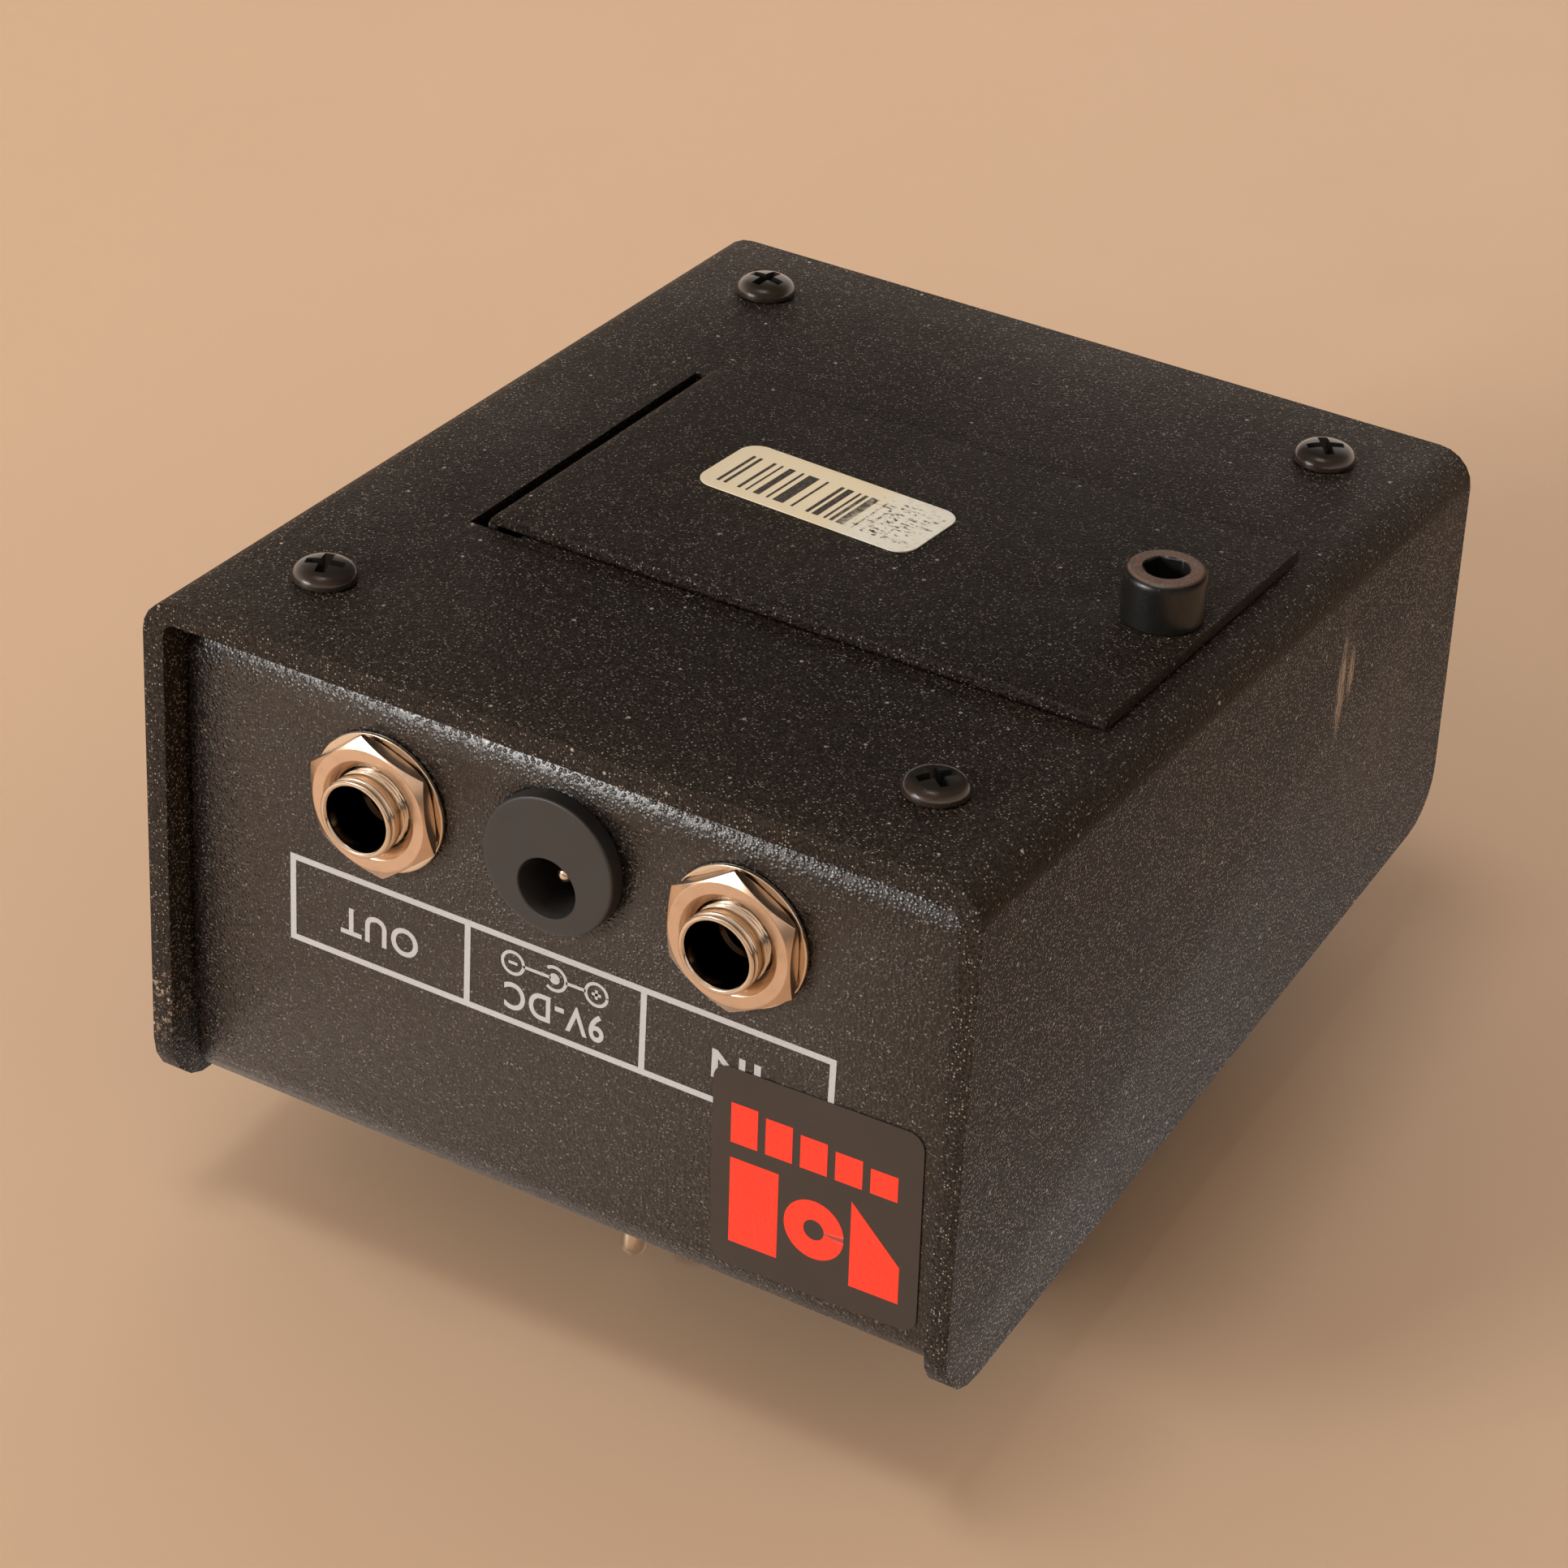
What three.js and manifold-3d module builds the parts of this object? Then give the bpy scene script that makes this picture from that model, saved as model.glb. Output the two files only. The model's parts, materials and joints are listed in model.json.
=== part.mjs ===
import * as THREE from "three";
import { mergeVertices } from "three/addons/utils/BufferGeometryUtils.js";
import Module from "manifold-3d";

const wasm = await Module();
wasm.setup();

// A foot-operated pedal in a folded steel case, standing on its base. X runs to the player's right, Y away
// from the player towards the jacks, Z up. All sizes are in millimetres. Heights are measured from the outer
// face of the base plate; the whole object is lifted at the end so that its lowest point is at zero.

// Case
const bodyWidth = 107;
const bodyDepth = 122;
const rearHeight = 67.3;
const frontHeight = 51;
const frontLean = 2;
const coverSheet = 2.8;
const coverBend = 4.5;
const cheekCorner = 7;
const chassisSheet = 1.6;
const chassisBaseBend = 5.4;
const chassisTopBend = 5;
const faceRecess = 3.4;
const cheekGap = 1;
const panelDrop = 0.6;
const flangeWidth = 19;

// Clearances
const coatGap = 0.1;
const looseGap = 0.35;
const seatGap = 0.3;

// Screws that hold the cover
const sideScrewInset = 14.2;
const rearScrewInset = 14.8;
const frontScrewInset = 12.5;
const screwHeadRadius = 3.5;
const screwHeadHeight = 2.3;
const screwShankRadius = 1.7;
const screwLength = 8;

// Battery door
const doorLeftInset = 21.5;
const doorRightInset = 5.3;
const doorWidth = 48;
const doorMiddle = 1;
const doorSheet = 1.5;
const doorBend = 2.2;
const tongueLength = 5;
const slotLead = 2;
const slotSwing = 4.9;
const slotSideGap = 0.4;
const doorScrewInset = 5.7;
const capRadius = 4.76;
const capHeight = 6.2;
const capSocket = 4.76;
const capSocketDepth = 3;
const capShankRadius = 3.1;
const nutThickness = 3.1;
const nutRadius = 5.6;

// Battery
const batterySize = { x: 48.5, y: 26.5, z: 17.5 };
const batteryToNut = 3.6;
const studRadius = 2.9;
const studHeight = 2.8;
const studPitch = 12.7;
const snapThickness = 4;
const leadRadius = 0.65;

// Jacks and power inlet on the rear face
const jackSide = 23.3;
const jackHeight = 17.8;
const bushRadius = 4.75;
const jackBore = 3.3;
const bushProud = 5.15;
const nutFlats = 15.4;
const nutHeight = 1.9;
const nutTurn = { in: 0.538, out: 0.695 };
const washerRadius = 8.6;
const washerSheet = 0.6;
const inletHeight = 16.8;
const inletFlange = 8.45;
const inletProud = 2.2;
const inletBarrel = 7;
const inletDepth = 14;
const inletMouth = 3.7;
const inletOffset = 2.8;
const inletPin = 1.05;
const inletNutRim = 1.6;
const pinRecess = 3;

// Stickers
const labelSize = { x: 29.7, y: 12.4, round: 2.5 };
const labelSpot = { x: -2.1, y: -1, turn: THREE.MathUtils.degToRad(3) };
const stickerSize = { x: 26.4, y: 26, round: 2 };
const stickerSpot = { x: 34.4, z: 47.6, turn: THREE.MathUtils.degToRad(1.5) };
const stickerSheet = 0.15;

// Controls on the top panel: x to the right, v up the slope from the panel's middle, w out of the panel
const controlHeight = 17.4;
const knobPitch = 31;
const knobInset = 35;
const knobRadius = 9.5;
const knobTop = 8.3;
const fluteCount = 12;
const potRadius = 8.3;
const potDepth = 8.2;
const potBush = 3.5;
const potBushHeight = 5.5;
const shaftRadius = 2.6;
const knobBore = 3.3;
const switchInset = 25;
const switchSize = { x: 17, y: 17.5, z: 13 };
const switchBush = 6;
const switchBushHeight = 8;
const plungerRadius = 4.9;
const plungerStem = 3.2;
const switchTravel = 2.5;
const toggleX = 2;
const toggleInset = 19;
const toggleSize = { x: 13, y: 7.6, z: 9.5 };
const toggleBush = 3;
const toggleBushHeight = 6.5;
const togglePivot = 3;
const leverLength = 11.5;
const leverTilt = THREE.MathUtils.degToRad(-12);
const lampRow = -6;
const lampRadius = 2.5;

// Circuit board
const boardSheet = 1.6;
const boardSideGap = 7.7;
const boardGap = 3.2;
const boardDrop = 12.2;

const round = 20;
const arcSteps = 5;

const X = new THREE.Vector3(1, 0, 0);
const Y = new THREE.Vector3(0, 1, 0);
const Z = new THREE.Vector3(0, 0, 1);
// acrossX takes an outline drawn in y and z and draws it out along x. acrossY takes one drawn in x and z and
// draws it out along y, and it turns a lathe's axis upright.
const acrossX = new THREE.Matrix4().makeBasis(Y, Z, X);
const acrossY = new THREE.Matrix4().makeBasis(X, Z, Y.clone().negate());

// Places worked out from the sizes
const slope = (rearHeight - frontHeight) / (bodyDepth + frontLean);
const panelTilt = Math.atan(slope);
const rearFace = bodyDepth / 2 - faceRecess;
const innerFace = rearFace - chassisSheet;
const panelHeight = (y) => rearHeight - panelDrop + (y - bodyDepth / 2) * slope;
const frontFace = (z) => faceRecess - bodyDepth / 2 - (frontLean * z) / frontHeight;
const chassisWidth = bodyWidth - 2 * (coverSheet + cheekGap);
const screwSide = bodyWidth / 2 - sideScrewInset;
const doorLeft = doorLeftInset - bodyWidth / 2;
const doorRight = bodyWidth / 2 - doorRightInset;
const doorScrewX = doorRight - doorScrewInset;
const doorInner = -seatGap;
const doorOuter = doorInner - doorSheet;
const lift = capHeight - doorOuter;
const tightest = 0.3; // the smallest radius inside a bend
const innerBend = Math.max(coverBend - coverSheet, tightest);
const bendRise = innerBend - Math.sqrt(innerBend ** 2 - Math.max(innerBend - cheekGap, 0) ** 2);
const chassisLow = coverSheet + bendRise + coatGap;
const batteryLow = coverSheet + seatGap;
const nutLow = coverSheet + coatGap;
const batteryEnd = doorScrewX - nutRadius - batteryToNut - snapThickness - seatGap;
const batteryX = batteryEnd - batterySize.x / 2;
const knobRow = bodyDepth / 2 - knobInset;
const switchRow = switchInset - bodyDepth / 2;
const toggleRow = bodyDepth / 2 - toggleInset;
const boardFront = switchRow + switchSize.y / 2 + boardGap;
const boardRear = toggleRow - toggleSize.y / 2 - boardGap;
const boardMiddle = (boardFront + boardRear) / 2;
const boardUnder = boardDrop + boardSheet;

// Solids

function toSolid(geometry) {
  const bare = geometry.clone();
  bare.deleteAttribute("normal");
  bare.deleteAttribute("uv");
  const merged = mergeVertices(bare, 1e-4);
  const corners = Array.from(merged.index.array);
  const faces = [];
  for (let i = 0; i < corners.length; i += 3) {
    const [a, b, c] = corners.slice(i, i + 3);
    if (a !== b && b !== c && c !== a) faces.push(a, b, c);
  }
  return new wasm.Manifold(
    new wasm.Mesh({
      numProp: 3,
      vertProperties: new Float32Array(merged.attributes.position.array),
      triVerts: new Uint32Array(faces),
    }),
  );
}

function toGeometry(solid) {
  const mesh = solid.getMesh();
  const geometry = new THREE.BufferGeometry();
  geometry.setAttribute("position", new THREE.BufferAttribute(new Float32Array(mesh.vertProperties), 3));
  geometry.setIndex(new THREE.BufferAttribute(new Uint32Array(mesh.triVerts), 1));
  return geometry;
}

function cut(geometry, ...tools) {
  const solid = tools.reduce((left, tool) => left.subtract(toSolid(tool)), toSolid(geometry));
  return toGeometry(solid);
}

function join(geometry, ...others) {
  const solid = others.reduce((sum, other) => sum.add(toSolid(other)), toSolid(geometry));
  return toGeometry(solid);
}

function common(geometry, other) {
  return toGeometry(toSolid(geometry).intersect(toSolid(other)));
}

// Outlines

// The points of an outline whose corners, given as [x, y, radius], are rounded by arcs.
function roundedPath(corners, closed = false) {
  const count = corners.length;
  const points = [];
  corners.forEach(([x, y, radius = 0], i) => {
    const here = new THREE.Vector2(x, y);
    const isEnd = !closed && (i === 0 || i === count - 1);
    if (!radius || isEnd) {
      points.push(here);
      return;
    }
    const before = new THREE.Vector2(...corners[(i + count - 1) % count]).sub(here).normalize();
    const after = new THREE.Vector2(...corners[(i + 1) % count]).sub(here).normalize();
    const half = Math.acos(before.dot(after)) / 2;
    const middle = before.clone().add(after).normalize().multiplyScalar(radius / Math.sin(half)).add(here);
    const start = before.multiplyScalar(radius / Math.tan(half)).add(here).sub(middle);
    const end = after.multiplyScalar(radius / Math.tan(half)).add(here).sub(middle);
    const turn = Math.atan2(start.cross(end), start.dot(end));
    for (let step = 0; step <= arcSteps; step += 1) {
      const spoke = start.clone().rotateAround(new THREE.Vector2(), (turn * step) / arcSteps);
      points.push(spoke.add(middle));
    }
  });
  return points;
}

// The section of a folded sheet: its outer corners, and the same path one thickness to the left of it.
function sheetShape(corners, thickness) {
  const inner = corners.map(([x, y, radius = 0], i) => {
    const here = new THREE.Vector2(x, y);
    const ahead = new THREE.Vector2(...(corners[i + 1] ?? corners[i])).sub(here).normalize();
    const behind = here.clone().sub(new THREE.Vector2(...(corners[i - 1] ?? corners[i]))).normalize();
    const leftAhead = new THREE.Vector2(-ahead.y, ahead.x);
    const leftBehind = new THREE.Vector2(-behind.y, behind.x);
    const normal = leftAhead.clone().add(leftBehind).normalize();
    const side = leftAhead.lengthSq() ? leftAhead : leftBehind;
    const moved = normal.multiplyScalar(thickness / normal.dot(side)).add(here);
    return [moved.x, moved.y, radius ? Math.max(radius - thickness, tightest) : 0];
  });
  return new THREE.Shape([...roundedPath(corners), ...roundedPath(inner).reverse()]);
}

function drawnOut(shape, length, basis) {
  const geometry = new THREE.ExtrudeGeometry(shape, { depth: length, bevelEnabled: false });
  geometry.translate(0, 0, -length / 2);
  return basis ? geometry.applyMatrix4(basis) : geometry;
}

function box(sizeX, sizeY, sizeZ, x = 0, y = 0, z = 0) {
  return new THREE.BoxGeometry(sizeX, sizeY, sizeZ).translate(x, y, z);
}

function roundedRectangle(sizeX, sizeY, radius) {
  const [halfX, halfY] = [sizeX / 2, sizeY / 2];
  const corners = [
    [-halfX, -halfY, radius],
    [halfX, -halfY, radius],
    [halfX, halfY, radius],
    [-halfX, halfY, radius],
  ];
  return new THREE.Shape(roundedPath(corners, true));
}

// A turned piece. The profile gives [radius, height] up the axis and comes back down for a hollow one.
function turned(profile, segments = round) {
  const points = profile.map(([radius, height]) => new THREE.Vector2(radius, height));
  return new THREE.LatheGeometry(points, segments);
}

const turnedUp = (profile, segments) => turned(profile, segments).applyMatrix4(acrossY);

function ring(outer, inner, low, high) {
  return [
    [inner, low],
    [outer, low],
    [outer, high],
    [inner, high],
    [inner, low],
  ];
}

function rod(radius, low, high) {
  return [
    [0, low],
    [radius, low],
    [radius, high],
    [0, high],
  ];
}

// The outline of a circle of so many sides, or of a hexagon given by the width across its flats.
function circle(radius, sides) {
  const corner = (_, i) => {
    const angle = (i * 2 * Math.PI) / sides;
    return new THREE.Vector2(radius * Math.cos(angle), radius * Math.sin(angle));
  };
  return new THREE.Shape(Array.from({ length: sides }, corner));
}

const hexagon = (flats) => circle(flats / Math.sqrt(3), 6);

// A hexagon nut that stands on z = 0, with the corners of its top and bottom turned away.
function hexNut(flats, height, bore, chamfer = 0.5) {
  const blank = drawnOut(hexagon(flats), height).translate(0, 0, height / 2);
  const reach = flats / Math.sqrt(3);
  const turnedAway = turnedUp(
    [
      [0, 0],
      [reach - chamfer * 1.6, 0],
      [reach + 0.1, chamfer],
      [reach + 0.1, height - chamfer],
      [reach - chamfer * 1.6, height],
      [0, height],
    ],
    24,
  );
  return cut(common(blank, turnedAway), turnedUp(rod(bore, -1, height + 1)));
}

// Case

const coverScrews = [
  { x: -screwSide, y: bodyDepth / 2 - rearScrewInset },
  { x: screwSide, y: bodyDepth / 2 - rearScrewInset },
  { x: -screwSide, y: frontScrewInset - bodyDepth / 2 },
  { x: screwSide, y: frontScrewInset - bodyDepth / 2 },
];

function baseCover() {
  const side = bodyWidth / 2;
  const tall = rearHeight + 2;
  const fold = [
    [-side, tall],
    [-side, 0, coverBend],
    [side, 0, coverBend],
    [side, tall],
  ];
  const folded = drawnOut(sheetShape(fold, coverSheet), bodyDepth + 3 * frontLean + 2, acrossY);
  const outline = [
    [-bodyDepth / 2, -1],
    [bodyDepth / 2, -1],
    [bodyDepth / 2, rearHeight, cheekCorner],
    [-bodyDepth / 2 - frontLean, frontHeight, cheekCorner],
    [-bodyDepth / 2, 0],
  ];
  const cheek = new THREE.Shape(roundedPath(outline, true));
  const trimmed = common(folded, drawnOut(cheek, bodyWidth + 2, acrossX));
  const hole = (radius, x, y) => turnedUp(rod(radius, -1, coverSheet + 1)).translate(x, y, 0);
  const slotWide = slotLead + slotSwing;
  const slotMiddle = doorLeft - slotLead + slotWide / 2;
  const slot = box(slotWide, doorWidth + 2 * slotSideGap, 3 * coverSheet, slotMiddle, doorMiddle, 0);
  const wellWide = batterySize.x + 3;
  const well = box(wellWide, batterySize.y + 3, 3 * coverSheet, batteryX, doorMiddle, 0);
  return cut(
    trimmed,
    slot,
    well,
    hole(capShankRadius + looseGap, doorScrewX, doorMiddle),
    ...coverScrews.map(({ x, y }) => hole(screwShankRadius + looseGap, x, y)),
  );
}

// The panel's own frame: holes through it are made square to its slope.
const panel = new THREE.Group();
panel.position.z = panelHeight(0);
panel.rotation.x = panelTilt;
panel.updateMatrix();

function panelHole(radius, x, v) {
  const drill = turnedUp(rod(radius, -4 * chassisSheet, 2 * chassisSheet));
  return drill.translate(x, v, 0).applyMatrix4(panel.matrix);
}

function chassis() {
  const frontTop = panelHeight(frontFace(0)) / (1 + (slope * frontLean) / frontHeight);
  const fold = [
    [rearFace - flangeWidth, chassisLow],
    [rearFace, chassisLow, chassisBaseBend],
    [rearFace, panelHeight(rearFace), chassisTopBend],
    [frontFace(frontTop), frontTop, chassisTopBend],
    [frontFace(chassisLow), chassisLow, chassisBaseBend],
    [frontFace(chassisLow) + flangeWidth, chassisLow],
  ];
  const folded = drawnOut(sheetShape(fold, chassisSheet), chassisWidth, acrossX);
  const rearHole = (radius, x, z) => turned(rod(radius, innerFace - 3, rearFace + 3)).translate(x, 0, z);
  const drill = rod(screwShankRadius + seatGap, 0, chassisLow + 2 * chassisSheet);
  const screwHole = ({ x, y }) => turnedUp(drill).translate(x, y, 0);
  return cut(
    folded,
    ...coverScrews.map(screwHole),
    rearHole(bushRadius + seatGap, -jackSide, jackHeight),
    rearHole(bushRadius + seatGap, jackSide, jackHeight),
    rearHole(inletBarrel + seatGap, 0, inletHeight),
    ...knobPlaces.map((x) => panelHole(potBush + seatGap, x, knobRow)),
    panelHole(switchBush + seatGap, 0, switchRow),
    panelHole(toggleBush + seatGap, toggleX, toggleRow),
    panelHole(bezelBarrel + seatGap, 0, lampRow),
  );
}

function coverScrew(turn) {
  const blank = turnedUp([
    [0, -screwHeadHeight],
    [1.4, 0.12 - screwHeadHeight],
    [2.6, 0.6 - screwHeadHeight],
    [screwHeadRadius - 0.15, 1.3 - screwHeadHeight],
    [screwHeadRadius, -coatGap],
    [screwShankRadius, -coatGap],
    [screwShankRadius, screwLength - 0.8],
    [screwShankRadius - 0.7, screwLength],
    [0, screwLength],
  ], 16);
  const wing = () => box(0.95, 2.6 * screwShankRadius, 1.5, 0, 0, 0.35 - screwHeadHeight);
  const cross = join(wing(), wing().rotateZ(Math.PI / 2)).rotateZ(turn);
  return cut(blank, cross);
}

// Battery door

function batteryDoor() {
  const tongueLow = coverSheet + seatGap;
  const tongueHigh = tongueLow + doorSheet;
  const section = [
    [doorLeft, doorOuter, doorBend],
    [doorRight, doorOuter],
    [doorRight, doorInner],
    [doorLeft + doorSheet, doorInner],
    [doorLeft + doorSheet, tongueHigh, doorBend],
    [doorLeft - tongueLength, tongueHigh],
    [doorLeft - tongueLength, tongueLow],
    [doorLeft, tongueLow],
  ];
  const plate = drawnOut(new THREE.Shape(roundedPath(section, true)), doorWidth, acrossY);
  const hole = turnedUp(rod(capShankRadius + looseGap, doorOuter - 1, 1)).translate(doorScrewX, 0, 0);
  return cut(plate, hole);
}

function doorScrew() {
  const seat = doorOuter - coatGap / 2;
  const head = doorOuter - capHeight;
  const tip = nutLow + nutThickness - 0.4;
  const blank = turnedUp([
    [0, head],
    [capRadius - 0.5, head],
    [capRadius, head + 0.5],
    [capRadius, seat],
    [capShankRadius, seat],
    [capShankRadius, tip - 0.7],
    [capShankRadius - 0.6, tip],
    [0, tip],
  ]);
  const socket = drawnOut(hexagon(capSocket), 2 * capSocketDepth).translate(0, 0, head);
  return cut(blank, socket);
}

function doorNut() {
  const high = nutLow + nutThickness;
  return turnedUp(ring(nutRadius, capShankRadius + looseGap, nutLow, high), 24);
}

function slab({ x, y, round: corner }) {
  return drawnOut(roundedRectangle(x, y, corner), stickerSheet).translate(0, 0, stickerSheet / 2);
}

// Battery

function battery() {
  const can = drawnOut(roundedRectangle(batterySize.y, batterySize.z, 1.6), batterySize.x, acrossX);
  const stud = (y) => drawnStud(studRadius, y);
  return join(can, stud(-studPitch / 2), stud(studPitch / 2));
}

function drawnStud(radius, y) {
  const rooted = studHeight + 0.5;
  const middle = batterySize.x / 2 + studHeight - rooted / 2;
  return drawnOut(circle(radius, 14), rooted, acrossX).translate(middle, y, 0);
}

// A cap that clips over the two studs, with its mouth facing the battery.
function batterySnap() {
  const plate = drawnOut(roundedRectangle(studPitch + 11, 12, 5), snapThickness, acrossX);
  const socket = (y) => {
    const depth = studHeight + seatGap;
    return drawnOut(circle(studRadius + seatGap, 14), 2 * depth, acrossX).translate(-snapThickness / 2, y, 0);
  };
  return cut(plate, socket(-studPitch / 2), socket(studPitch / 2));
}

function lead(points) {
  const path = new THREE.CatmullRomCurve3(points.map((point) => new THREE.Vector3(...point)));
  const along = { steps: 12, bevelEnabled: false, extrudePath: path };
  return new THREE.ExtrudeGeometry(circle(leadRadius, 8), along);
}

// Rear hardware, turned about the y axis, with y = 0 at the case's outer rear face

function jackSleeve() {
  const collar = chassisSheet + coatGap;
  const back = collar + 1.5;
  const bush = turned([
    [jackBore, -back],
    [7.4, -back],
    [7.4, -collar],
    [bushRadius, -collar],
    [bushRadius, bushProud - 1.6],
    [bushRadius - 0.35, bushProud - 1.3],
    [bushRadius - 0.1, bushProud - 0.7],
    [bushRadius - 0.45, bushProud],
    [jackBore + 0.6, bushProud],
    [jackBore, bushProud - 0.7],
    [jackBore, -back],
  ]);
  const tab = box(9, 1.5, 5.4, 0, -collar - 0.75, 6.7);
  const arm = box(9, 13, 0.8, 0, -collar - 6.5, 9);
  return join(bush, tab, arm);
}

function jackWafer() {
  return drawnOut(roundedRectangle(9, 8, 1), 1.4).translate(0, -chassisSheet - 9, 7.8);
}

function jackSpring() {
  const spine = [
    [-6.5, 6.5],
    [-14.5, 6.5],
    [-20, 3.4],
    [-22, 2.7],
    [-24.5, 4.6],
  ];
  const upper = spine.map(([y, z]) => [y, z + 0.5]).reverse();
  const outline = [...spine, ...upper].map(([y, z]) => new THREE.Vector2(y, z));
  return drawnOut(new THREE.Shape(outline), 5, acrossX);
}

const upToRear = (geometry) => geometry.rotateX(-Math.PI / 2);
const rearNut = (turn) => upToRear(hexNut(nutFlats, nutHeight, bushRadius + seatGap, 0.6).rotateZ(turn));
const rearWasher = () => turned(ring(washerRadius, bushRadius + seatGap, 0, washerSheet));

function inletBody() {
  const blank = turned([
    [0, -inletDepth],
    [inletBarrel, -inletDepth],
    [inletBarrel, coatGap],
    [inletFlange, coatGap],
    [inletFlange, inletProud - 0.3],
    [inletFlange - 0.3, inletProud],
    [0, inletProud],
  ]);
  const mouth = turned(rod(inletMouth, 3 - inletDepth, inletProud + 1));
  const pinHole = turned(rod(inletPin + seatGap, -inletDepth - 1, 4 - inletDepth), 12);
  return cut(blank, mouth.translate(0, 0, inletOffset), pinHole.translate(0, 0, inletOffset));
}

function inletPinPiece() {
  const tip = inletProud - pinRecess;
  return turned(
    [
      [0, -inletDepth - 3],
      [inletPin, -inletDepth - 3],
      [inletPin, tip - 0.8],
      [0.6, tip - 0.15],
      [0, tip],
    ],
    14,
  );
}

function inletNut() {
  const face = -chassisSheet - coatGap;
  return turned(ring(inletBarrel + inletNutRim, inletBarrel + seatGap, face - 2.5, face));
}

// Controls, each in the panel's frame with its axis along z and z = 0 at the panel's outer face

const knobPlaces = [-knobPitch, 0, knobPitch];
const bezelBarrel = 3.9;
const underPanel = -chassisSheet - seatGap;

function potBody() {
  const low = underPanel - potDepth;
  const can = turnedUp([
    [0, low],
    [potRadius - 0.6, low],
    [potRadius, low + 0.6],
    [potRadius, underPanel],
    [potBush, underPanel],
    [potBush, potBushHeight],
    [shaftRadius + looseGap, potBushHeight],
    [shaftRadius + looseGap, underPanel],
    [0, underPanel],
  ]);
  const lug = (x) => box(1.6, 8, 0.8, x, -potRadius, low + 1.6);
  return join(can, lug(-5), lug(0), lug(5));
}

function potShaft() {
  const blank = turnedUp([
    [0, underPanel + seatGap],
    [shaftRadius, underPanel + seatGap],
    [shaftRadius, potBushHeight + 0.6],
    [knobBore - seatGap, potBushHeight + 0.6],
    [knobBore - seatGap, controlHeight - 3.6],
    [0, controlHeight - 3.6],
  ]);
  const flat = box(8, 2, 20, 0, -shaftRadius - 0.7, potBushHeight + 12);
  return cut(blank, flat);
}

function knob() {
  const skirt = 1.2;
  const body = turnedUp(
    [
      [knobRadius - 2.2, skirt],
      [knobRadius, skirt],
      [knobRadius, skirt + 1.6],
      [knobRadius - 0.5, skirt + 2.4],
      [knobTop, controlHeight - 1.2],
      [knobTop - 1.1, controlHeight],
      [0, controlHeight],
      [0, controlHeight - 3.2],
      [knobBore, controlHeight - 3.2],
      [knobBore, potBushHeight + 1.2],
      [knobRadius - 2.2, potBushHeight + 1.2],
      [knobRadius - 2.2, skirt],
    ],
    24,
  );
  const flute = (_, i) => {
    const groove = turnedUp(rod(1.1, skirt + 2.5, controlHeight + 1), 6).translate(0, knobTop + 0.75, 0);
    return groove.rotateZ(((i + 0.5) * 2 * Math.PI) / fluteCount);
  };
  return cut(body, ...Array.from({ length: fluteCount }, flute));
}

function footswitchBody() {
  const low = underPanel - switchSize.z;
  const block = box(switchSize.x, switchSize.y, switchSize.z, 0, 0, low + switchSize.z / 2);
  const bush = turnedUp(rod(switchBush, underPanel - 1, switchBushHeight));
  const bore = turnedUp(rod(plungerStem + looseGap, -1, switchBushHeight + 1));
  const lugs = [-1, 0, 1].flatMap((column) => [-1, 0, 1].map((row) => [4.6 * column, 4.8 * row]));
  return cut(join(block, bush, ...lugs.map(([x, y]) => box(2.2, 0.8, 6, x, y, low - 1))), bore);
}

function footswitchPlunger() {
  const under = switchBushHeight + switchTravel + 0.5;
  return turnedUp([
    [0, switchTravel],
    [plungerStem, switchTravel],
    [plungerStem, under],
    [plungerRadius, under],
    [plungerRadius, controlHeight - 1.6],
    [plungerRadius - 0.45, controlHeight - 0.55],
    [plungerRadius - 1.5, controlHeight],
    [0, controlHeight],
  ]);
}

function toggleBody() {
  const low = underPanel - toggleSize.z;
  const block = box(toggleSize.x, toggleSize.y, toggleSize.z, 0, 0, low + toggleSize.z / 2);
  const bush = turnedUp(rod(toggleBush, underPanel - 1, toggleBushHeight), 24);
  const lugs = [-1, 0, 1].map((column) => box(0.8, 1.8, 5, 4.7 * column, 0, low - 2));
  const bore = turnedUp(
    [
      [0, togglePivot - 2.6],
      [2.3, togglePivot - 2.6],
      [2.3, toggleBushHeight - 1],
      [2.6, toggleBushHeight + 0.1],
      [0, toggleBushHeight + 0.1],
    ],
    24,
  );
  return cut(join(block, bush, ...lugs), bore);
}

// The lever turns about the middle of its ball, which is at the origin.
function toggleLever() {
  return turnedUp(
    [
      [0, -1.6],
      [1.1, -1.25],
      [1.6, 0],
      [1.3, 1.2],
      [1.05, 2.2],
      [1.15, 4],
      [1.55, leverLength - 2.2],
      [1.5, leverLength - 0.9],
      [0.95, leverLength - 0.2],
      [0, leverLength],
    ],
    20,
  );
}

function lampBezel() {
  return turnedUp([
    [lampRadius + seatGap, -7],
    [bezelBarrel, -7],
    [bezelBarrel, seatGap],
    [bezelBarrel + 1.2, seatGap],
    [bezelBarrel + 1.2, 1],
    [bezelBarrel + 0.5, 1.9],
    [lampRadius + seatGap + 0.3, 1.9],
    [lampRadius + seatGap, 1.2],
    [lampRadius + seatGap, -7],
  ]);
}

function lamp() {
  return turnedUp(
    [
      [0, -6],
      [lampRadius, -6],
      [lampRadius, 1.4],
      [lampRadius * 0.87, 2.6],
      [lampRadius * 0.5, 3.5],
      [0, 3.9],
    ],
    20,
  );
}

// Circuit board and what is soldered on its underside

function circuitBoard() {
  const wide = chassisWidth - 2 * boardSideGap;
  return box(wide, boardRear - boardFront, boardSheet, 0, boardMiddle, -boardDrop - boardSheet / 2);
}

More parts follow.
